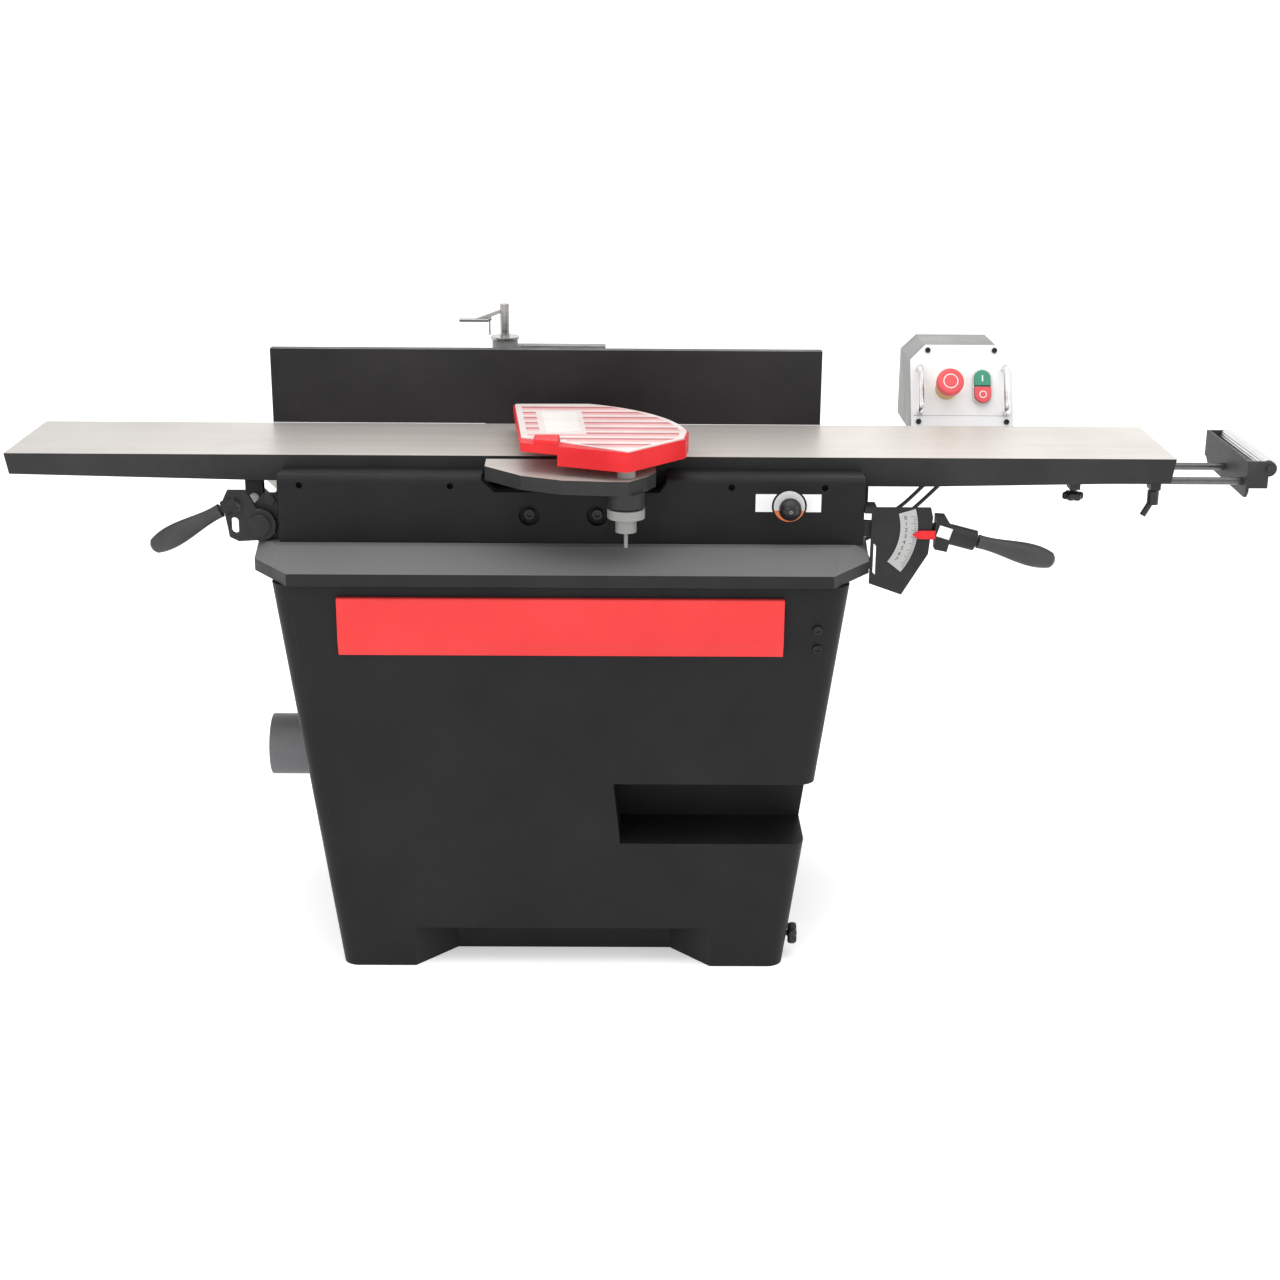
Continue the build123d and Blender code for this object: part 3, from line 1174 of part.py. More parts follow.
def cabinet_regions():
    """Where the welded skin is divided: the top, four flat walls and four bent corners."""
    half = CABINET_DEPTH / 2
    y = half - CABINET_CORNER
    low = CABINET_BOTTOM_WIDTH / 2 - CABINET_CORNER
    high = CABINET_TOP_WIDTH / 2 - CABINET_CORNER
    under = CABINET_TOP - SHEET
    reach = CABINET_TOP_WIDTH
    lid = block(-reach, reach, -half, half, under, CABINET_TOP)
    wall = [(-low, 0), (-high, CABINET_TOP), (high, CABINET_TOP), (low, 0)]
    regions = top_regions()
    for y0, y1 in ((-half, -y), (y, half)):
        regions.append(slab_y(wall, y0, y1) - lid)
    for side in (-1, 1):
        outer = [(side * low, 0), (side * high, CABINET_TOP), (side * reach, CABINET_TOP), (side * reach, 0)]
        for y0, y1 in ((-half, -y), (y, half)):
            regions.append(slab_y(outer, y0, y1) - lid)
        middle = slab_y(outer, -y, y) - lid
        regions += port_regions(middle) if side < 0 else [middle]
    return regions


def tray_sheets(tray, lined, outer):
    """Flat sheets that line a recess: back, ceiling, floor and sides, each its own solid."""
    lining = (lined & outer) - tray
    box = tray.bounding_box()
    sheets = []
    behind = block(-900, 900, box.max.Y, box.max.Y + SHEET + TOUCH, -900, 900)
    above = block(-900, 900, -900, box.max.Y, box.max.Z, 900)
    below = block(-900, 900, -900, box.max.Y, -900, box.min.Z)
    for region in (behind, above, below):
        sheets += (lining & region).solids()
    sides = lining - behind - above - below
    return sheets + sides.solids()


def cabinet_shell():
    """Cabinet of welded sheets with a kick space, a tray and four foot plates."""
    outer = tapered_block(0)
    skin = outer - tapered_block(SHEET) - toe_recess(0) - niche(0)
    skin -= block(*cabinet_well(), CABINET_TOP - 10, CABINET_TOP + TOUCH)
    skin -= block(-CABINET_TOP_WIDTH, -200, -PORT_CUT, PORT_CUT, PORT_Z - PORT_CUT, PORT_Z + PORT_CUT)
    knob_wall = cabinet_half_width(SIDE_KNOB_Z)
    skin -= bar_x(knob_wall - 20, knob_wall + 20, SIDE_KNOB_Y, SIDE_KNOB_Z, SIDE_KNOB_SCREW + GAP)
    back = CABINET_DEPTH / 2
    skin -= block(-DOOR_HALF, DOOR_HALF, back - 10, back + TOUCH, DOOR_BOTTOM, DOOR_TOP)
    sheets = []
    for region in cabinet_regions():
        sheets += (skin & region).solids()
    inner = tapered_block(SHEET) & outer
    trays = tray_sheets(toe_recess(0), toe_recess(SHEET), inner) + tray_sheets(niche(0), niche(SHEET), inner)
    for x in (-1, 1):
        for y in (-1, 1):
            foot = block(-FOOT_HALF, FOOT_HALF, -FOOT_HALF, FOOT_HALF, 0, FOOT_PLATE)
            foot = Pos(x * FOOT_HOLE_X, y * FOOT_HOLE_Y, 0) * foot & inner
            foot -= bar_z(-TOUCH, FOOT_PLATE + TOUCH, x * FOOT_HOLE_X, y * FOOT_HOLE_Y, FOOT_HOLE)
            trays += (foot - toe_recess(SHEET)).solids()
    return Compound(sheets + trays)


def red_front_panel():
    """Accent panel with a bevelled lower edge."""
    face = -CABINET_DEPTH / 2
    top = CABINET_TOP - PANEL_DROP
    low = top - PANEL_TALL
    profile = [(face, low), (face - 4, low), (face - 11, low + 21), (face - 11, top - 2),
               (face - 9, top), (face, top)]
    return slab_x(profile, -PANEL_HALF, PANEL_HALF)


def rear_access_panel():
    """Removable louvred panel over the motor opening."""
    back = CABINET_DEPTH / 2
    half = DOOR_HALF + DOOR_LAP
    panel = block(-half, half, back, back + 2, DOOR_BOTTOM - DOOR_LAP, DOOR_TOP + DOOR_LAP)
    for row in range(8):
        z = DOOR_BOTTOM + 40 + row * 22
        panel -= block(-130, -20, back - 1, back + 3, z, z + 6)
        panel -= block(20, 130, back - 1, back + 3, z, z + 6)
    return panel


def dust_port():
    """Square flange and round spigot with a flat shoulder, on the left side."""
    low, high = PORT_Z - PORT_FLANGE, PORT_Z + PORT_FLANGE
    wall_low = -cabinet_half_width(low)
    wall_high = -cabinet_half_width(high)
    flange = slab_y([(wall_low, low), (wall_low - 5, low), (wall_high - 5, high), (wall_high, high)],
                    -PORT_FLANGE, PORT_FLANGE)
    shoulder = PORT_END + PORT_SPIGOT
    root = wall_low + TOUCH
    collar = bar_x(shoulder, root, 0, PORT_Z, PORT_RADIUS + 5) - tapered_block(0)
    flange -= bar_x(shoulder - TOUCH, root, 0, PORT_Z, PORT_RADIUS + 5)
    spigot = collar + bar_x(PORT_END, shoulder + TOUCH, 0, PORT_Z, PORT_RADIUS)
    spigot -= bar_x(PORT_END - TOUCH, root + TOUCH, 0, PORT_Z, PORT_RADIUS - PORT_WALL)
    return Compound([flange, spigot])


def chute_chains():
    """Outer (x, z) corners of the duct: down its left side, and down its right side."""
    top = PLINTH_TOP
    low = PORT_Z - 53
    high = PORT_Z + 53
    wall_low = SHEET - cabinet_half_width(low) + GAP
    wall_high = SHEET - cabinet_half_width(high) + GAP
    bend = PLINTH_TOP - 22
    left = [(HEAD_X - CHUTE_HALF, top), (HEAD_X - CHUTE_HALF, bend), (-300, high), (wall_high, high)]
    right = [(HEAD_X + CHUTE_HALF, top), (HEAD_X + CHUTE_HALF, bend), (-190, low), (wall_low, low)]
    return left, right


def dust_chute():
    """Folded duct from under the bed to the outlet: two side plates and the strips between them."""
    left, right = chute_chains()
    y0 = TABLE_FRONT + 15
    y1 = TABLE_BACK - 15
    outline = left + right[::-1]
    sheets = [slab_y(outline, y0, y0 + CHUTE_WALL), slab_y(outline, y1 - CHUTE_WALL, y1)]
    whole = slab_y(outline, y0 + CHUTE_WALL, y1 - CHUTE_WALL)
    for chain, inward in ((left, -1), (right, 1)):
        for (ax, az), (bx, bz) in zip(chain, chain[1:]):
            run = math.dist((ax, az), (bx, bz))
            shift_x = inward * CHUTE_WALL * (bz - az) / run
            shift_z = -inward * CHUTE_WALL * (bx - ax) / run
            strip = slab_y([(ax, az), (bx, bz), (bx + shift_x, bz + shift_z), (ax + shift_x, az + shift_z)],
                           y0 + CHUTE_WALL, y1 - CHUTE_WALL)
            sheets.append(strip & whole)
    return Compound(sheets)


def side_knob():
    """Star knob low on the right side; its screw locks the base."""
    wall = cabinet_half_width(SIDE_KNOB_Z)
    screw = bar_x(wall - 12, wall + 6, SIDE_KNOB_Y, SIDE_KNOB_Z, SIDE_KNOB_SCREW)
    return screw + Pos(wall + 5, SIDE_KNOB_Y, SIDE_KNOB_Z) * Rot(0, 90, 0) * star_knob(6, 19, 14)


# ---- controls ----

def panel_frame():
    """Plane of the sloping panel, its origin in the middle of the lower edge."""
    lean = math.radians(PANEL_SLOPE)
    return Plane(origin=(BOX_X, BOX_FRONT, BOX_BOTTOM), x_dir=(1, 0, 0),
                 z_dir=(0, -math.cos(lean), math.sin(lean)))


def on_panel(u, v, out=0.0):
    """Location on the panel: u to the right, v up the slope."""
    return panel_frame().location * Pos(u, v, out)


def box_outline(width):
    """Front outline of the control box, lower edge on the X axis."""
    half = width / 2
    rise = PANEL_RISE
    return [(-half, 0), (half, 0), (half, rise - BOX_CHAMFER), (half - BOX_CHAMFER, rise),
            (-half + BOX_CHAMFER, rise), (-half, rise - BOX_CHAMFER)]


def control_housing():
    """Sloping steel box, open towards its panel."""
    top = BOX_BOTTOM + BOX_HEIGHT

    def shell(inset, reach):
        lean = BOX_LEAN / BOX_HEIGHT
        profile = [(BOX_FRONT - reach, BOX_BOTTOM + inset),
                   (BOX_FRONT + BOX_LEAN - lean * inset - reach, top - inset),
                   (BOX_BACK - inset, top - inset), (BOX_BACK - inset, BOX_BOTTOM + inset)]
        half = BOX_WIDTH / 2 - inset
        body = slab_x(profile, BOX_X - half, BOX_X + half)
        corner = BOX_CHAMFER - inset * 0.6
        for side in (-1, 1):
            edge = BOX_X + side * (half + TOUCH)
            near = BOX_X + side * (half - corner)
            cut = [(edge, top + TOUCH), (near, top + TOUCH), (near, top - inset), (edge, top - inset - corner)]
            body -= slab_y(cut, BOX_FRONT - 50, BOX_BACK + 10)
        return body

    housing = shell(0, 0) - shell(BOX_WALL, 6)
    return housing - bar_z(BOX_BOTTOM - 1, BOX_BOTTOM + 5, BOX_X, ARM_Y, 16)


def control_panel():
    """Panel plate with rounded look from its chamfered corners."""
    face = Face(Wire.make_polygon([(x, y, 0) for x, y in box_outline(BOX_WIDTH)]))
    plate = panel_frame().location * extrude(face, amount=PANEL_THICK, dir=(0, 0, 1))
    plate -= on_panel(ESTOP_U, ESTOP_V) * Cylinder(ESTOP_STEM + GAP, 12)
    for v in (PILL_V - BUTTON_STEP, PILL_V + BUTTON_STEP):
        plate -= on_panel(PILL_U, v) * Cylinder(BUTTON_STEM + GAP, 12)
    return plate


def grab_handles():
    """Two bow handles that shield the buttons."""
    handles = []
    for u in (-BOX_WIDTH / 2 + 14, BOX_WIDTH / 2 - 14):
        low, high, out = 36, 114, 26
        path = FilletPolyline((u, low, PANEL_THICK), (u, low, out), (u, high, out), (u, high, PANEL_THICK),
                              radius=12)
        section = Plane(origin=path @ 0, z_dir=path % 0) * Circle(5.2)
        handles.append(panel_frame().location * sweep(section, path=path))
    return Compound(handles)


def pill(grow, height):
    """Upright pill the shape of both buttons together, grown on every side."""
    outline = SlotOverall(PILL_LONG + 2 * grow, PILL_WIDE + 2 * grow)
    return Rot(0, 0, 90) * extrude(outline, amount=height)


def button_bezels():
    """Tapered collar of the emergency stop and the oval bezel of the two buttons."""
    collar = Cone(19, 14.5, COLLAR_HEIGHT) - Cylinder(ESTOP_STEM + GAP, COLLAR_HEIGHT + 2)
    collar = on_panel(ESTOP_U, ESTOP_V, PANEL_THICK + COLLAR_HEIGHT / 2) * collar
    bezel = on_panel(PILL_U, PILL_V, PANEL_THICK) * pill(2.5, 7)
    bezel -= on_panel(PILL_U, PILL_V, PANEL_THICK + PILL_FLOOR) * pill(GAP, 7)
    for v in (PILL_V - BUTTON_STEP, PILL_V + BUTTON_STEP):
        bezel -= on_panel(PILL_U, v, PANEL_THICK) * Cylinder(BUTTON_STEM + GAP, 12)
    return Compound([collar, bezel])


def estop_button():
    """Mushroom head on its stem."""
    cap_low = PANEL_THICK + COLLAR_HEIGHT + 5
    cap = Pos(0, 0, cap_low + 7) * Cylinder(23, 14)
    cap = fillet(cap.edges().sort_by(Axis.Z)[-1], 5)
    return on_panel(ESTOP_U, ESTOP_V) * (bar_z(-12, cap_low + TOUCH, 0, 0, ESTOP_STEM) + cap)


def push_button(side, proud):
    """Half of the pill on its stem; side is +1 for the upper button and -1 for the lower."""
    floor = PANEL_THICK + PILL_FLOOR + BUTTON_TRAVEL + GAP
    stem = on_panel(PILL_U, PILL_V + side * BUTTON_STEP) * bar_z(-10, floor + TOUCH, 0, 0, BUTTON_STEM)
    half = Pos(0, side * (PILL_LONG / 2 + 2), 0) * Box(PILL_WIDE + 2, PILL_LONG, 40)
    return stem + on_panel(PILL_U, PILL_V, floor) * (pill(0, proud) & half)


def start_button():
    return push_button(1, 5)


def stop_button():
    return push_button(-1, 8)


def control_post():
    """Bracket, square arm and post that carry the control box."""
    z0, z1 = ARM_BOTTOM, ARM_TOP
    half = ARM_HALF
    inside = ARM_HALF - SHEET
    left = BED_RIGHT - 60
    arm = block(left, BOX_X + half, ARM_Y - half, ARM_Y + half, z0, z1)
    arm -= block(left - TOUCH, BOX_X + inside - 1, ARM_Y - inside, ARM_Y + inside, z0 + SHEET, z1 - SHEET)
    arm += block(left, BED_RIGHT - 6, BED_BACK, ARM_Y - half + TOUCH, z0, z1)
    arm += block(BOX_X - half, BOX_X + half, ARM_Y - half, ARM_Y + half, z1 - TOUCH, BOX_BOTTOM)
    return arm - block(BOX_X - inside, BOX_X + inside, ARM_Y - inside, ARM_Y + inside,
                       z0 + SHEET, BOX_BOTTOM + TOUCH)


def cable_routes():
    """Hand-laid routes of the two leads from the box to the cabinet."""
    y = CABLE_Y
    start = BOX_BOTTOM - 8
    high = CABINET_TOP - 35
    low = CABINET_TOP - 64
    first = [(652, y, start), (652, y, LEVER_Z + 30), (633, y, LEVER_Z - 4), (606, y, LEVER_Z - 34),
             (575, y, LEVER_Z - 65), (533, y, high + 11), (489, y, high), (450, y, high)]
    second = [(679, y, start), (679, y, LEVER_Z + 30), (660, y, LEVER_Z - 4), (632, y, LEVER_Z - 34),
              (601, y, LEVER_Z - 65), (557, y, high), (502, y, low), (448, y, low)]
    return first, second


def arc_radii(route):
    """Largest arc that each corner of a route has room for."""
    radii = []
    for before, corner, after in zip(route, route[1:], route[2:]):
        arriving = Vector(*corner) - Vector(*before)
        leaving = Vector(*after) - Vector(*corner)
        half_turn = math.radians(arriving.get_angle(leaving)) / 2
        radii.append(0.45 * min(arriving.length, leaving.length) / math.tan(half_turn))
    return radii


def control_cables():
    leads = []
    for route in cable_routes():
        radii = arc_radii(route)
        path = FilletPolyline(*route, radius=radii)
        section = Plane(origin=path @ 0, z_dir=path % 0) * Circle(CABLE)
        leads.append(sweep(section, path=path))
        print("control lead:", round(path.length), "mm long, arc radii", [round(radius) for radius in radii])
    return Compound(leads)


def cable_glands():
    """Glands of the two leads at both ends, and the mains inlet at the back."""
    glands = []
    for route in cable_routes():
        x, y, z = route[0]
        glands.append(bar_z(z, BOX_BOTTOM, x, y, 8))
        x, y, z = route[-1]
        wall = cabinet_half_width(z)
        glands.append(bar_x(wall - 1, x, y, z, 8) - (tapered_block(0)))
    back = CABINET_DEPTH / 2
    glands.append(bar_y(back, back + 18, -300, 120, 11))
    return Compound(glands)


def machine_screws():
    """Every visible socket screw of the cabinet, cover and control panel."""
    screws = []
    front = -CABINET_DEPTH / 2
    for z in (CABINET_TOP - 67, CABINET_TOP - 97.5):
        screws.append(cap_screw(Plane(origin=(390, front, z), z_dir=(0, -1, 0)).location, 7, 5, 4))
    for x, z in cover_recesses():
        screws.append(cap_screw(Plane(origin=(x, BED_FRONT - 4, z), z_dir=(0, -1, 0)).location, 8, 8, 4.5))
    half = BOX_WIDTH / 2
    for u, v in ((-half + 12, 21), (half - 12, 21), (-half + 30, PANEL_RISE - 10), (half - 30, PANEL_RISE - 10)):
        screws.append(cap_screw(on_panel(u, v, PANEL_THICK), 4.5, 3, 2.5))
    for x in (-DOOR_HALF - 5, DOOR_HALF + 5):
        for z in (DOOR_BOTTOM - 5, DOOR_TOP + 5):
            plane = Plane(origin=(x, CABINET_DEPTH / 2 + 2, z), z_dir=(0, 1, 0))
            screws.append(cap_screw(plane.location, 5, 3, 2.5))
    return Compound(screws)


def write_parts():
    builders = [
        cabinet_shell, red_front_panel, rear_access_panel, dust_port, dust_chute, motor_shelf, motor_body,
        base_plinth, base_casting, front_cover, machine_screws, data_labels, knob_ring, belt_guard,
        bearing_blocks, head_bearings, scale_bracket, outfeed_end_bracket, fence_support, control_post,
        control_housing, control_panel, grab_handles, button_bezels, control_cables, cable_glands, drive_belt,
        motor_pulley, cutterhead, cutter_inserts, head_pulley, infeed_lever_shaft, infeed_lever_arm, infeed_grip,
        depth_pointer, infeed_link, rabbeting_ledge, guard_body, guard_plate, guard_post,
        roller_rods, roller_bracket, roller, rod_lock_knob, rod_lock_lever, outfeed_lever_shaft,
        outfeed_lever_plate, outfeed_grip, outfeed_link, outfeed_table, fence_plate, fence_carriage,
        fence_tilt_lock, fence_slide_lock, estop_button, start_button, stop_button, depth_stop_knob, infeed_table,
        side_knob,
    ]
    os.makedirs("parts", exist_ok=True)
    for builder in builders:
        export_step(builder(), f"parts/{builder.__name__}.step")


write_parts()
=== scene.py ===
import math

import bmesh
import bpy
from mathutils import Matrix, Vector


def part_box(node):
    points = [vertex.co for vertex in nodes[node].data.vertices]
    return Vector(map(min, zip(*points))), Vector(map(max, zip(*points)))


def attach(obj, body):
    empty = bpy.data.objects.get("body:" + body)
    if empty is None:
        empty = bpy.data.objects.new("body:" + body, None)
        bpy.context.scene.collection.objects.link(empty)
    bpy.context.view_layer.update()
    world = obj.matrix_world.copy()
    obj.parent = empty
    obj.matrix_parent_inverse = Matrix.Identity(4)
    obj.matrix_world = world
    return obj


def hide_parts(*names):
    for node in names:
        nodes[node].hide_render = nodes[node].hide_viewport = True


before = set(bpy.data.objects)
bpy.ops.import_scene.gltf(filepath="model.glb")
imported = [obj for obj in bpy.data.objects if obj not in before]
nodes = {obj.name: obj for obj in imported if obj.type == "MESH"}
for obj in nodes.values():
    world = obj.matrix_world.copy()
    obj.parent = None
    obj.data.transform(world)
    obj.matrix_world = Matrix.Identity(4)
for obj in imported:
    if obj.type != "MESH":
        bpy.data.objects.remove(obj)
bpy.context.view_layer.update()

MM = 0.001


def middle(node):
    """Centre of a node's box at rest."""
    low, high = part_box(node)
    return (low + high) / 2


TABLE_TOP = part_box("infeed_table")[1].z
KNOB_Z = middle("depth_stop_knob").z
PRINT_TOP = KNOB_Z - 6 * MM     # the ring is printed below this
PANEL_X = middle("control_panel").x
SCALE_SIDE_X = 0.45     # the front plate is on one side of this, the depth scale on the other


# ---- colours and node graphs ----

def rgb(red, green, blue):
    return (red, green, blue, 1)


def scaled(colour, factor, lift=0.0):
    """A paler or darker colour, with no channel above 1."""
    return rgb(*(min(1.0, channel * factor + lift) for channel in colour[:3]))


class Graph:
    """A material and short names for the nodes that it is built from."""

    def __init__(self, name):
        self.material = bpy.data.materials.new(name)
        self.material.use_nodes = True
        self.tree = self.material.node_tree
        self.shader = self.tree.nodes["Principled BSDF"]
        self.place = self.add("ShaderNodeTexCoord").outputs["Object"]

    def add(self, kind, **settings):
        made = self.tree.nodes.new(kind)
        for name, value in settings.items():
            setattr(made, name, value)
        return made

    def join(self, source, target):
        """Link a socket, or set a plain value."""
        if isinstance(source, bpy.types.NodeSocket):
            self.tree.links.new(source, target)
        else:
            target.default_value = source

    def set(self, **values):
        """Inputs of the surface shader, with _ for a space in their names."""
        for name, value in values.items():
            self.join(value, self.shader.inputs[name.replace("_", " ")])

    def shine(self, level):
        self.shader.inputs["Specular IOR Level"].default_value = level

    def math(self, operation, a, b=0.0):
        made = self.add("ShaderNodeMath", operation=operation)
        self.join(a, made.inputs[0])
        self.join(b, made.inputs[1])
        return made.outputs[0]

    def times(self, a, b):
        return self.math("MULTIPLY", a, b)

    def stretched(self, x, y, z):
        """Object coordinates with a scale along each axis."""
        made = self.add("ShaderNodeMapping")
        self.join(self.place, made.inputs["Vector"])
        made.inputs["Scale"].default_value = (x, y, z)
        return made.outputs["Vector"]

    def noise(self, scale, detail=3.0, where=None, roughness=0.55):
        made = self.add("ShaderNodeTexNoise")
        self.join(self.place if where is None else where, made.inputs["Vector"])
        made.inputs["Scale"].default_value = scale
        made.inputs["Detail"].default_value = detail
        made.inputs["Roughness"].default_value = roughness
        return made.outputs["Fac"]

    def span(self, source, low, high, to_low=0.0, to_high=1.0):
        """Map a range onto another and clamp it there."""
        made = self.add("ShaderNodeMapRange")
        self.join(source, made.inputs["Value"])
        for name, value in (("From Min", low), ("From Max", high), ("To Min", to_low), ("To Max", to_high)):
            self.join(value, made.inputs[name])
        return made.outputs["Result"]

    def patches(self, scale, detail, low, high, to_low=0.0, to_high=1.0):
        """Noise, mapped from one range onto another."""
        return self.span(self.noise(scale, detail), low, high, to_low, to_high)

    def mix(self, amount, a, b):
        """Mix of two colours."""
        made = self.add("ShaderNodeMix", data_type="RGBA")
        for value, index in ((amount, 0), (a, 6), (b, 7)):
            self.join(value, made.inputs[index])
        return made.outputs[2]

    def blend(self, amount, a, b):
        """Mix of two numbers."""
        made = self.add("ShaderNodeMix", data_type="FLOAT")
        for value, index in ((amount, 0), (a, 2), (b, 3)):
            self.join(value, made.inputs[index])
        return made.outputs[0]

    def softened(self, radius):
        """Normal of the surface if its edges were broken by a radius."""
        made = self.add("ShaderNodeBevel", samples=4)
        made.inputs["Radius"].default_value = radius
        return made.outputs["Normal"]

    def bump(self, height, distance, strength=1.0, edge=0.0008):
        """Surface relief, with outer edges that catch the light as if broken by a small radius."""
        made = self.add("ShaderNodeBump")
        self.join(height, made.inputs["Height"])
        self.join(self.softened(edge), made.inputs["Normal"])
        made.inputs["Distance"].default_value = distance
        made.inputs["Strength"].default_value = strength
        self.join(made.outputs["Normal"], self.shader.inputs["Normal"])

    def part_of(self, vector, letter):
        made = self.add("ShaderNodeSeparateXYZ")
        self.join(vector, made.inputs[0])
        return made.outputs[letter]

    def axis(self, letter):
        """Place along an axis of the object."""
        return self.part_of(self.place, letter)

    def facing(self, letter):
        """How far the true normal points along an axis of the object."""
        return self.part_of(self.add("ShaderNodeTexCoord").outputs["Normal"], letter)

    def edges(self, radius):
        """1 along outer edges and 0 on flat faces."""
        sharp = self.add("ShaderNodeNewGeometry").outputs["Normal"]
        dot = self.add("ShaderNodeVectorMath", operation="DOT_PRODUCT")
        self.join(self.softened(radius), dot.inputs[0])
        self.join(sharp, dot.inputs[1])
        return self.span(dot.outputs["Value"], 0.995, 0.86)


# ---- materials ----

def paint(name, colour, light, rough=0.5, peel=0.00012, worn=0.35, shine=0.17, upper=None):
    """Powder coat: orange peel, faint mottling, rubbed edges, and, when upper is given, a painted
    highlight: faces that look up are paler, as if lit from above.
    """
    g = Graph(name)
    mottled = g.mix(g.patches(7, 4, 0.35, 0.7), colour, light)
    if upper:
        # painted highlight: faces that look up are mixed towards the paler upper colour, standing in for
        # light from above; the noise only varies how much
        painted_top_light = g.times(g.span(g.facing("Z"), 0.2, 0.5), g.patches(3, 3, 0.2, 0.8, 0.85, 1))
        mottled = g.mix(painted_top_light, mottled, upper)
    rubbed = g.times(g.edges(0.0016), g.patches(55, 5, 0.42, 0.7, 0, worn))
    g.set(Base_Color=g.mix(rubbed, mottled, scaled(light, 2.2, 0.03)))
    smudge = g.patches(16, 5, 0.3, 0.75, rough - 0.06, rough + 0.1)
    g.set(Roughness=g.math("SUBTRACT", smudge, g.times(rubbed, 0.2)))
    g.shine(shine)
    g.bump(g.noise(900, 2), peel, 0.6)
    return g.material


def ground_iron(name, skirt):
    """Planed cast iron on top, ground along X, and black paint on every other face."""
    g = Graph(name)
    near_top = g.span(g.axis("Z"), TABLE_TOP - 1.6 * MM, TABLE_TOP - 0.6 * MM)
    top = g.times(near_top, g.span(g.facing("Z"), 0.6, 0.8))
    lines = g.noise(1, 4, g.stretched(3, 700, 3), 0.7)
    broad = g.noise(1, 3, g.stretched(1.2, 40, 1), 0.5)
    stain = g.patches(4.5, 6, 0.45, 0.75)
    iron = g.mix(g.span(lines, 0.3, 0.72), rgb(0.50, 0.465, 0.43), rgb(0.68, 0.64, 0.60))
    iron = g.mix(g.times(stain, 0.28), iron, rgb(0.36, 0.33, 0.30))
    iron = g.mix(g.times(g.span(broad, 0.35, 0.7), 0.25), iron, rgb(0.72, 0.68, 0.64))
    # painted shade: the ground iron is darker towards the outfeed end, at negative X
    outfeed_end_shade = g.times(g.span(g.axis("X"), -0.25, -0.85), 0.5)
    iron = g.mix(outfeed_end_shade, iron, rgb(0.30, 0.29, 0.275))
    black = g.mix(g.patches(9, 4, 0.35, 0.7), skirt, scaled(skirt, 1.5))
    g.set(Base_Color=g.mix(top, black, iron), Metallic=g.times(top, 0.42))
    polished = g.math("ADD", g.span(lines, 0.25, 0.75, 0.34, 0.48), g.times(stain, 0.12))
    g.set(Roughness=g.blend(top, g.patches(30, 4, 0.3, 0.7, 0.46, 0.6), polished))
    g.shine(0.3)
    cast = g.times(g.noise(420, 3), g.math("SUBTRACT", 1.0, top))
    ground = g.times(lines, g.times(top, 0.12))
    g.bump(g.math("ADD", cast, ground), 0.00025, 0.7, 0.0012)
    return g.material


def cast_paint(name, colour, bump=0.0004):
    """Enamel over rough sand-cast iron, chipped along its edges."""
    g = Graph(name)
    grain = g.noise(260, 5, roughness=0.65)
    base = g.mix(g.patches(11, 4, 0.35, 0.7), colour, scaled(colour, 1.8, 0.004))
    chips = g.times(g.edges(0.002), g.patches(90, 5, 0.5, 0.62))
    g.set(Base_Color=g.mix(g.times(chips, 0.5), base, rgb(0.24, 0.23, 0.22)))
    g.set(Roughness=g.span(grain, 0.3, 0.75, 0.42, 0.62))
    g.shine(0.3)
    g.bump(grain, bump, 0.7, 0.0015)
    return g.material


def machined(name, colour, rough=0.28, across=(8, 8, 260), wear=0.1):
    """Turned or drawn metal with fine marks; across is the noise scale along X, Y and Z."""
    g = Graph(name)
    marks = g.noise(1, 3, g.stretched(*across), 0.6)
    shade = g.mix(g.span(marks, 0.3, 0.7), scaled(colour, 0.72), colour)
    dirt = g.times(g.patches(24, 5, 0.5, 0.75), wear)
    g.set(Base_Color=g.mix(dirt, shade, rgb(0.09, 0.08, 0.07)), Metallic=1.0)
    g.set(Roughness=g.span(marks, 0.25, 0.75, rough - 0.07, rough + 0.1))
    g.bump(marks, 0.00006, 0.5)
    return g.material


def moulded(g, tone, rough, grain=0.00008, scale=700, shine=0.35):
    """What the plastics share: a colour, uneven gloss and a fine grain."""
    g.set(Base_Color=tone, Roughness=g.patches(45, 5, 0.3, 0.72, rough - 0.06, rough + 0.09))
    g.shine(shine)
    g.bump(g.noise(scale, 2), grain, 0.6)
    return g.material


def plastic(name, colour, rough=0.4, **finish):
    """Moulded plastic with slightly paler edges."""
    g = Graph(name)
    tone = g.mix(g.patches(13, 4, 0.35, 0.7), colour, scaled(colour, 1.18, 0.01))
    rim = g.times(g.edges(0.001), g.patches(70, 4, 0.35, 0.65, 0, 0.3))
    return moulded(g, g.mix(rim, tone, scaled(colour, 1.5, 0.05)), rough, **finish)


def two_tone(name, near, beyond, letter, place, rough):
    """Plastic that changes colour at a place along an axis."""
    g = Graph(name)
    side = g.span(g.axis(letter), place - 0.2 * MM, place + 0.2 * MM)
    tone = g.mix(side, near, beyond)
    return moulded(g, g.mix(g.patches(13, 4, 0.35, 0.7, 0, 0.25), tone, rgb(0.5, 0.5, 0.5)), rough)


def rubber(name, colour):
    """Matt rubber with a dusty bloom."""
    g = Graph(name)
    g.set(Base_Color=g.mix(g.patches(60, 5, 0.45, 0.8, 0, 0.35), colour, rgb(0.09, 0.09, 0.09)))
    g.set(Roughness=g.patches(120, 3, 0.3, 0.7, 0.55, 0.75))
    g.bump(g.noise(1400, 2), 0.00006, 0.6)
    return g.material


# paler grey painted on faces that look up, a painted highlight for the top light
PAINTED_TOP_LIGHT_GREY = rgb(0.16, 0.16, 0.16)

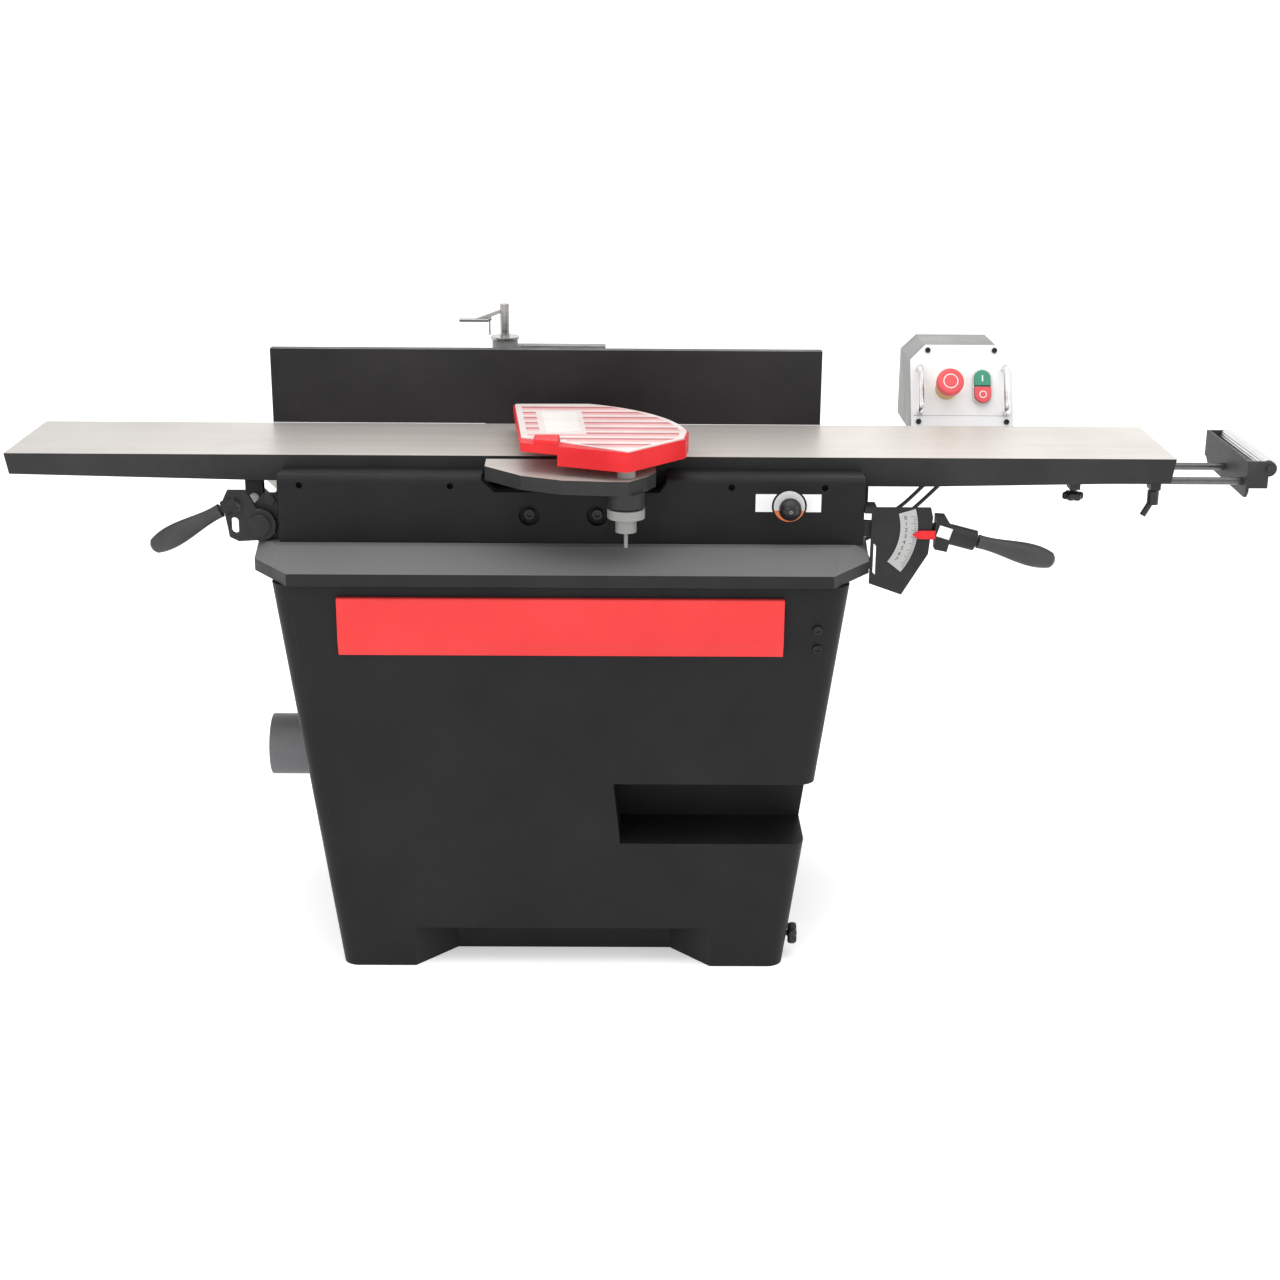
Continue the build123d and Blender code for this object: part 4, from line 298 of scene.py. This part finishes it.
MATERIALS = {
    "charcoal": paint("charcoal_powder_coat", rgb(0.0085, 0.0085, 0.0098), rgb(0.0120, 0.0120, 0.0132),
                      0.46),
    "plinth": paint("plinth_powder_coat", rgb(0.014, 0.014, 0.015), rgb(0.020, 0.020, 0.021), 0.40,
                    upper=PAINTED_TOP_LIGHT_GREY),
    "fence": paint("fence_enamel", rgb(0.016, 0.015, 0.016), rgb(0.024, 0.022, 0.024), 0.36, worn=0.5),
    "housing": paint("control_box_enamel", rgb(0.22, 0.215, 0.21), rgb(0.27, 0.265, 0.26), 0.42),
    "red": paint("red_enamel", rgb(0.66, 0.032, 0.032), rgb(0.72, 0.040, 0.040), 0.34, 0.00006, 0.12, 0.25),
    "panel": paint("white_panel", rgb(0.76, 0.76, 0.76), rgb(0.82, 0.82, 0.82), 0.38, 0.00005, 0.2),
    "tables": ground_iron("ground_cast_iron", rgb(0.016, 0.016, 0.016)),
    "casting": cast_paint("cast_iron_enamel", rgb(0.0075, 0.0075, 0.0080)),
    "carriage": cast_paint("carriage_enamel", rgb(0.16, 0.16, 0.155), 0.0002),
    "arm": cast_paint("lever_enamel", rgb(0.009, 0.009, 0.010), 0.0002),
    "bracket": cast_paint("roller_bracket_enamel", rgb(0.018, 0.018, 0.0175), 0.0001),
    "steel": machined("machined_steel", rgb(0.50, 0.49, 0.47), 0.3),
    "dark_steel": machined("drawn_rod_steel", rgb(0.15, 0.147, 0.143), 0.34, (200, 8, 200)),
    "chrome": machined("satin_chrome", rgb(0.82, 0.82, 0.82), 0.26, (30, 30, 30), 0.03),
    "aluminium": machined("extruded_aluminium", rgb(0.80, 0.80, 0.79), 0.32, (300, 3, 300)),
    "zinc": machined("zinc_plate", rgb(0.40, 0.40, 0.39), 0.38, (60, 60, 60)),
    "carbide": machined("carbide", rgb(0.30, 0.30, 0.31), 0.22, (300, 20, 300)),
    "blackened": machined("blackened_screws", rgb(0.035, 0.035, 0.037), 0.34, (90, 90, 90)),
    "red_plastic": plastic("red_plastic", rgb(0.58, 0.014, 0.018), 0.36, shine=0.16),
    "button_red": plastic("button_red", rgb(0.62, 0.075, 0.085), 0.38),
    "stripe_red": plastic("stripe_red", rgb(0.42, 0.13, 0.14), 0.5, shine=0.2),
    "stripe_pink": plastic("stripe_pink", rgb(0.60, 0.34, 0.335), 0.5, shine=0.2),
    "white_plastic": plastic("white_plastic", rgb(0.60, 0.535, 0.515), 0.45, shine=0.2),
    "grey_plastic": plastic("grey_plastic", rgb(0.125, 0.125, 0.130), 0.46),
    "hub_grey": plastic("hub_grey", rgb(0.21, 0.21, 0.20), 0.40),
    "black_plastic": plastic("black_plastic", rgb(0.010, 0.010, 0.011), 0.30),
    "grip": plastic("soft_grip", rgb(0.030, 0.030, 0.031), 0.50, grain=0.00018, scale=480),
    "green_plastic": plastic("green_plastic", rgb(0.035, 0.235, 0.145), 0.36),
    "seam": plastic("panel_seam_line", rgb(0.42, 0.42, 0.42), 0.5),
    "ink": plastic("dial_ink", rgb(0.02, 0.02, 0.02), 0.5),
    "mark": plastic("white_mark", rgb(0.74, 0.73, 0.72), 0.5),
    "label_stock": plastic("label_stock", rgb(0.63, 0.60, 0.57), 0.5, shine=0.2),
    "bezel": two_tone("bezel_plastic", rgb(0.62, 0.42, 0.13), rgb(0.66, 0.67, 0.66), "X", PANEL_X, 0.40),
    "ring": two_tone("knob_ring_print", rgb(0.72, 0.17, 0.02), rgb(0.66, 0.67, 0.67), "Z", PRINT_TOP, 0.45),
    "label": two_tone("printed_label", rgb(0.90, 0.90, 0.90), rgb(0.39, 0.39, 0.385), "X", SCALE_SIDE_X,
                      0.5),
    "belt": rubber("belt_rubber", rgb(0.012, 0.012, 0.012)),
    "cable": rubber("cable_rubber", rgb(0.014, 0.014, 0.014)),
}

FINISHES = {
    "charcoal": ("cabinet_shell", "front_cover", "rear_access_panel", "belt_guard"),
    "plinth": ("base_plinth",),
    "fence": ("fence_plate",),
    "housing": ("control_housing", "control_post"),
    "red": ("red_front_panel",),
    "panel": ("control_panel",),
    "tables": ("infeed_table", "outfeed_table", "rabbeting_ledge"),
    "casting": ("base_casting", "fence_support", "bearing_blocks", "outfeed_end_bracket", "motor_body"),
    "carriage": ("fence_carriage",),
    "arm": ("infeed_lever_arm", "outfeed_lever_plate", "scale_bracket"),
    "bracket": ("roller_bracket",),
    "steel": ("infeed_lever_shaft", "infeed_link", "outfeed_lever_shaft", "outfeed_link", "cutterhead",
              "fence_slide_lock", "head_bearings"),
    "dark_steel": ("roller_rods",),
    "chrome": ("grab_handles",),
    "aluminium": ("roller", "motor_pulley", "head_pulley"),
    "zinc": ("motor_shelf", "dust_chute"),
    "carbide": ("cutter_inserts",),
    "blackened": ("machine_screws",),
    "red_plastic": ("guard_body", "depth_pointer"),
    "button_red": ("estop_button", "stop_button"),
    "white_plastic": ("guard_plate",),
    "grey_plastic": ("dust_port",),
    "hub_grey": ("guard_post",),
    "black_plastic": ("rod_lock_knob", "rod_lock_lever", "side_knob", "depth_stop_knob", "cable_glands",
                      "fence_tilt_lock"),
    "grip": ("infeed_grip", "outfeed_grip"),
    "green_plastic": ("start_button",),
    "bezel": ("button_bezels",),
    "ring": ("knob_ring",),
    "label": ("data_labels",),
    "belt": ("drive_belt",),
    "cable": ("control_cables",),
}


def finish_nodes():
    for finish, names in FINISHES.items():
        for name in names:
            mesh = nodes[name].data
            mesh.materials.clear()
            mesh.materials.append(MATERIALS[finish])


finish_nodes()


# ---- shapes for the detail pieces ----

def turned(degrees, axis):
    return Matrix.Rotation(math.radians(degrees), 4, axis)


def upright(right, normal):
    """Turn whose x axis is right and whose z axis is the normal."""
    return Matrix((right, normal.cross(right), normal)).transposed().to_4x4()


def piece(name, body, finish, build, smooth=False):
    """New mesh piece that rides on a body; build fills its bmesh."""
    shape = bmesh.new()
    build(shape)
    bmesh.ops.recalc_face_normals(shape, faces=shape.faces)
    mesh = bpy.data.meshes.new(name)
    shape.to_mesh(mesh)
    shape.free()
    mesh.materials.append(MATERIALS[finish])
    for face in mesh.polygons:
        face.use_smooth = smooth
    made = bpy.data.objects.new(name, mesh)
    bpy.context.scene.collection.objects.link(made)
    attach(made, body)
    return made


def skin(shape, near, far):
    """Quads between two rings of vertices."""
    for index in range(len(near)):
        after = (index + 1) % len(near)
        shape.faces.new((near[index], near[after], far[after], far[index]))


def loft(shape, rings):
    """Skin through rings of points, closed at both ends."""
    rows = [[shape.verts.new(point) for point in ring] for ring in rings]
    for near, far in zip(rows, rows[1:]):
        skin(shape, near, far)
    shape.faces.new(rows[0])
    shape.faces.new(rows[-1])


SUNK = 0.1      # how far a mark's underside is let into the surface below it


def placed(place, outline, out):
    """Points of a flat outline in millimetres, raised along the normal of a matrix."""
    return [place @ (Vector((u, v, out)) * MM) for u, v in outline]


def decal(shape, place, outline, thick=0.3):
    """Thin plate with a broken edge, standing on the (u, v) plane of a matrix; all in millimetres."""
    centre_u = sum(u for u, v in outline) / len(outline)
    centre_v = sum(v for u, v in outline) / len(outline)
    reach = max(math.dist((centre_u, centre_v), point) for point in outline)
    shrink = 1 - thick / reach
    inner = [(centre_u + (u - centre_u) * shrink, centre_v + (v - centre_v) * shrink) for u, v in outline]
    loft(shape, [placed(place, outline, -SUNK), placed(place, outline, thick * 0.6),
                 placed(place, inner, thick)])


def bar(low_u, high_u, half_v):
    """Corners of a rectangle."""
    return [(low_u, -half_v), (high_u, -half_v), (high_u, half_v), (low_u, half_v)]


def circle(radius, count=40, turn=0.0, bulge=None):
    """Points of a circle; bulge(angle) scales the radius."""
    points = []
    for number in range(count):
        angle = turn + number * math.tau / count
        reach = radius * (bulge(angle) if bulge else 1)
        points.append((reach * math.cos(angle), reach * math.sin(angle)))
    return points


def hoop(shape, place, inner, outer, thick=0.3, count=40):
    """Flat ring on the (u, v) plane of a matrix."""
    section = [(inner, -SUNK), (inner, thick), (outer, thick), (outer, -SUNK)]
    rows = [[shape.verts.new(point) for point in placed(place, circle(radius, count), out)]
            for radius, out in section]
    for near, far in zip(rows, rows[1:] + rows[:1]):
        skin(shape, near, far)


# ---- guard: stripes and a blank label on the white plate ----

def span_at(node, y):
    """Lowest and highest X where a node's mesh crosses a plane of constant Y."""
    mesh = nodes[node].data
    crossings = []
    for edge in mesh.edges:
        a, b = (mesh.vertices[index].co for index in edge.vertices)
        if (a.y - y) * (b.y - y) < 0:
            crossings.append(a.x + (b.x - a.x) * (y - a.y) / (b.y - a.y))
    return min(crossings), max(crossings)


LABEL_BACK = 30.0
LABEL_FRONT = -129.0
LABEL_LEFT = (-25, -39)      # at its front and its back
LABEL_RIGHT = (28, 17)
LABEL_MARGIN = 9
PLATE_BORDER = 10.0
STRIPE_PITCH = 39.0
SHORT_STRIPES_IN = 42        # from the first long stripe to the first beside the label
SHORTEST_STRIPE = 30


def plate_left(y):
    return span_at("guard_plate", y * MM)[0] / MM + PLATE_BORDER


def plate_right(y):
    return span_at("guard_plate", y * MM)[1] / MM - PLATE_BORDER


def label_side(y, at_front, at_back):
    return at_front + (at_back - at_front) * (y - LABEL_FRONT) / (LABEL_BACK - LABEL_FRONT)


def label_left(y):
    return label_side(y, *LABEL_LEFT) - LABEL_MARGIN


def label_right(y):
    return label_side(y, *LABEL_RIGHT) + LABEL_MARGIN


def guard_details():
    place = Matrix.Translation((0, 0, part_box("guard_plate")[1].z))

    def stripe(shape, y, half, left_of, right_of):
        front, back = y - half, y + half
        corners = [(left_of(front), front), (right_of(front), front),
                   (right_of(back), back), (left_of(back), back)]
        decal(shape, place, corners, 0.25)

    def stripes(shape, first, half):
        for number in range(8):
            y = first - STRIPE_PITCH * number
            beside_label = LABEL_FRONT - half < y < LABEL_BACK + half
            if plate_right(y) - plate_left(y) > SHORTEST_STRIPE:
                stripe(shape, y, half, label_right if beside_label else plate_left, plate_right)
        for number in range(4):
            y = first - SHORT_STRIPES_IN - STRIPE_PITCH * number
            stripe(shape, y, half, plate_left, label_left)

    def label(shape):
        corners = [(LABEL_LEFT[1], LABEL_BACK), (LABEL_RIGHT[1], LABEL_BACK), (LABEL_RIGHT[0], -113),
                   (LABEL_LEFT[0], LABEL_FRONT)]
        decal(shape, place, corners, 0.4)

    piece("guard_stripes", "guard", "stripe_red", lambda shape: stripes(shape, 66, 5))
    piece("guard_bands", "guard", "stripe_pink", lambda shape: stripes(shape, 54, 6.6))
    piece("guard_label", "guard", "label_stock", label)


# ---- control box: marks on the buttons and a seam in the panel ----

PANEL_THICK = 3
ESTOP_FACE = (-26.5, 79, 52)     # u, v and height of the middle of each button's face
START_FACE = (34, 95, 12.9)
STOP_FACE = (34, 66, 15.9)


def panel_place(u, v, out):
    """Matrix on the sloping panel; u to the right and v up the slope, in millimetres."""
    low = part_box("control_panel")[0]
    lean = math.atan2(70, 140)
    right = Vector((1, 0, 0))
    normal = Vector((0, -math.cos(lean), math.sin(lean)))
    origin = Vector((PANEL_X, low.y + PANEL_THICK * MM * math.cos(lean), low.z))
    offset = (right * u + normal.cross(right) * v + normal * out) * MM
    return Matrix.Translation(origin + offset) @ upright(right, normal)


def control_details():
    piece("estop_ring", "estop_button", "mark",
          lambda shape: hoop(shape, panel_place(*ESTOP_FACE), 11.0, 12.6))
    piece("start_mark", "start_button", "mark",
          lambda shape: decal(shape, panel_place(*START_FACE), bar(-1.1, 1.1, 5.5)))
    piece("stop_mark", "stop_button", "mark",
          lambda shape: hoop(shape, panel_place(*STOP_FACE), 4.8, 6.4))
    piece("panel_seam", "stand", "seam",
          lambda shape: decal(shape, panel_place(0, 32, PANEL_THICK), bar(-84, 84, 0.5), 0.2))


# ---- depth scale, clamp label and a painted highlight ring on the knob ----

SCALE_CENTRE = (437, 704)        # X and Z of the curved scale's centre
TICK_RADIUS = 110
NUMBER_RADIUS = 93
FIRST_TICK = 11.0                # degrees
TICK_STEP = 1.5
TICKS = 31
TICKS_PER_NUMBER = 4


def scale_place(number, radius):
    """Matrix on the curved scale at a tick's number, its u axis along the radius."""
    turn = math.radians(FIRST_TICK - number * TICK_STEP)
    right = Vector((math.cos(turn), 0, math.sin(turn)))
    centre = Vector((SCALE_CENTRE[0] * MM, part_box("data_labels")[0].y, SCALE_CENTRE[1] * MM))
    return Matrix.Translation(centre + right * radius * MM) @ upright(right, Vector((0, -1, 0)))


def scale_number(number):
    text = bpy.data.curves.new(f"scale_number_{number // TICKS_PER_NUMBER}", "FONT")
    text.body = str(number // TICKS_PER_NUMBER)
    text.size = 9 * MM
    text.extrude = 0.1 * MM
    text.align_x = "CENTER"
    text.align_y = "CENTER"
    text.materials.append(MATERIALS["ink"])
    made = bpy.data.objects.new(text.name, text)
    made.matrix_world = scale_place(number, NUMBER_RADIUS)
    bpy.context.scene.collection.objects.link(made)
    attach(made, "stand")


def scale_details():
    def ticks(shape):
        for number in range(TICKS):
            long = 5.0 if number % TICKS_PER_NUMBER else 9.0
            decal(shape, scale_place(number, TICK_RADIUS), bar(-long, 0, 0.25), 0.15)

    piece("scale_ticks", "stand", "ink", ticks)
    for number in range(0, TICKS, TICKS_PER_NUMBER):
        scale_number(number)


def lever_details():
    arm_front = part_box("infeed_lever_arm")[0].y
    face = Matrix.Translation((589 * MM, arm_front, 700 * MM)) @ turned(14.5, "Y") @ turned(90, "X")
    outline = [(-11, -9), (10, -10), (11, 8), (-10, 9)]
    piece("clamp_label", "infeed_lever", "mark",
          lambda shape: decal(shape, face, outline, 0.4))
    # painted highlight: a grey ring on the front of the depth-stop knob, where its cap shows a highlight
    knob_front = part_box("depth_stop_knob")[0].y
    dot = Matrix.Translation((middle("depth_stop_knob").x, knob_front, KNOB_Z)) @ turned(90, "X")
    piece("knob_cap_highlight", "depth_stop_knob", "hub_grey",
          lambda shape: hoop(shape, dot, 1.2, 2.6, 0.1, 24))


# ---- roller and star knobs in place of their plain CAD shapes ----

def fluted_roller():
    low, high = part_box("roller")
    centre = (low + high) / 2
    radius = (high.z - low.z) / 2 / MM
    bore, bore_mouth = 5.05, 5.4
    deep, edge = 4 * MM, 1 * MM
    flutes = 18

    def groove(angle):
        return 1 - 0.07 * max(0.0, math.cos(angle * flutes)) ** 2

    def ring(y, reach, bulge=None):
        return [Vector((centre.x + u * MM, y, centre.z + v * MM))
                for u, v in circle(reach, flutes * 8, math.pi / flutes, bulge)]

    def build(shape):
        loft(shape, [ring(low.y + deep, bore), ring(low.y, bore_mouth), ring(low.y, radius - 1, groove),
                     ring(low.y + edge, radius, groove), ring(high.y - edge, radius, groove),
                     ring(high.y, radius - 1, groove), ring(high.y, bore_mouth), ring(high.y - deep, bore)])

    made = piece("fluted_roller", "roller", "aluminium", build)
    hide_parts("roller")


# share of the knob's radius and of its height, from the crown to the underside
KNOB_PROFILE = ((0.30, 0.94), (0.62, 1.0), (0.86, 0.96), (0.97, 0.82), (1.0, 0.55), (0.98, 0.25),
                (0.90, 0.06), (0.80, 0.0))
KNOB_POINTS = 72
SCREW_PROFILE = ((7, 0), (4, 1.5), (4, 1.6), (4, 18))      # radius and distance below the knob


def star_knob(node, place, radius, height):
    """Six-lobed knob, rounded over, with its screw; its axis is the z axis of place."""
    def lobes(angle):
        return 0.87 + 0.13 * math.cos(6 * angle)

    def build(shape):
        rings = []
        for reach, level in KNOB_PROFILE:
            rings.append(placed(place, circle(radius * reach, KNOB_POINTS, bulge=lobes), -level * height))
        for reach, level in SCREW_PROFILE:
            rings.append(placed(place, circle(reach, KNOB_POINTS), level))
        loft(shape, rings)

    made = piece(f"{node}_star", node, "black_plastic", build, smooth=True)
    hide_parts(node)


def star_knobs():
    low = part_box("rod_lock_knob")[0]
    centre = middle("rod_lock_knob")
    star_knob("rod_lock_knob", Matrix.Translation((centre.x, centre.y, low.z + 12 * MM)), 17, 12)
    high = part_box("side_knob")[1]
    centre = middle("side_knob")
    inward = Matrix.Translation((high.x - 14 * MM, centre.y, centre.z)) @ turned(-90, "Y")
    star_knob("side_knob", inward, 19, 14)


guard_details()
control_details()
scale_details()
lever_details()
fluted_roller()
star_knobs()


# ---- stage ----

def floor_mesh():
    """Flat sheet that curves up into a backdrop far behind the machine."""
    bend, far, half_width = 3.0, 9.0, 22.0
    near, height = -12.0, 14.0
    profile = [(near, 0.0), (far, 0.0)]
    profile += [(far + bend * math.sin(turn), bend - bend * math.cos(turn))
                for turn in (math.radians(15 * step) for step in range(1, 7))]
    profile.append((far + bend, height))
    shape = bmesh.new()
    left, right = [[shape.verts.new((x, y, z)) for y, z in profile] for x in (-half_width, half_width)]
    for column in range(len(profile) - 1):
        shape.faces.new((left[column], right[column], right[column + 1], left[column + 1]))
    mesh = bpy.data.meshes.new("floor")
    shape.to_mesh(mesh)
    shape.free()
    for face in mesh.polygons:
        face.use_smooth = True
    return mesh


def pale_floor():
    g = Graph("pale_floor")
    pale = g.mix(g.noise(2, 3), rgb(0.92, 0.92, 0.92), rgb(0.95, 0.95, 0.95))
    g.set(Base_Color=pale, Emission_Color=pale)
    g.shader.inputs["Emission Strength"].default_value = 0.36
    g.set(Roughness=g.patches(5, 4, 0.3, 0.7, 0.75, 0.9))
    g.shine(0.1)
    return g.material


def make_floor():
    mesh = floor_mesh()
    mesh.materials.append(pale_floor())
    floor = bpy.data.objects.new("floor", mesh)
    bpy.context.scene.collection.objects.link(floor)


def area_light(name, place, aim, size, power):
    light = bpy.data.lights.new(name, "AREA")
    light.shape = "RECTANGLE"
    light.size, light.size_y = size
    light.energy = power
    lamp = bpy.data.objects.new(name, light)
    lamp.location = place
    lamp.rotation_mode = "QUATERNION"
    lamp.rotation_quaternion = (Vector(aim) - Vector(place)).to_track_quat("-Z", "Y")
    bpy.context.scene.collection.objects.link(lamp)


def make_light():
    world = bpy.data.worlds.new("studio")
    world.use_nodes = True
    background = world.node_tree.nodes["Background"]
    background.inputs["Color"].default_value = rgb(1, 1, 1)
    background.inputs["Strength"].default_value = 0.95
    bpy.context.scene.world = world
    area_light("top_softbox", (0, -0.6, 3.6), (0, 0, 0.6), (4.5, 2.6), 60)
    area_light("front_softbox", (-1.6, -3.6, 2.2), (0, 0, 0.5), (2.4, 1.8), 22)
    area_light("side_softbox", (3.4, -1.2, 2.0), (0, 0, 0.6), (1.6, 1.8), 16)
    bpy.context.scene.view_settings.view_transform = "Standard"


CAMERA_PLACE = (0.0991, -3.1141, 1.4950)
CAMERA_DEGREES = (0.42, 18.20, -0.40)        # yaw, pitch and roll


def make_camera():
    yaw, pitch, roll = (math.radians(angle) for angle in CAMERA_DEGREES)
    forward = Vector((math.sin(yaw) * math.cos(pitch), math.cos(yaw) * math.cos(pitch), -math.sin(pitch)))
    right = Vector((math.cos(yaw), -math.sin(yaw), 0))
    down = forward.cross(right)
    camera_right = math.cos(roll) * right + math.sin(roll) * down
    camera_up = math.sin(roll) * right - math.cos(roll) * down
    camera = bpy.data.objects.new("camera", bpy.data.cameras.new("camera"))
    turn = Matrix((camera_right, camera_up, -forward)).transposed().to_4x4()
    camera.matrix_world = Matrix.Translation(CAMERA_PLACE) @ turn
    camera.data.sensor_width = 36
    camera.data.lens = 55.85
    bpy.context.scene.collection.objects.link(camera)
    bpy.context.scene.camera = camera


make_floor()
make_light()
make_camera()
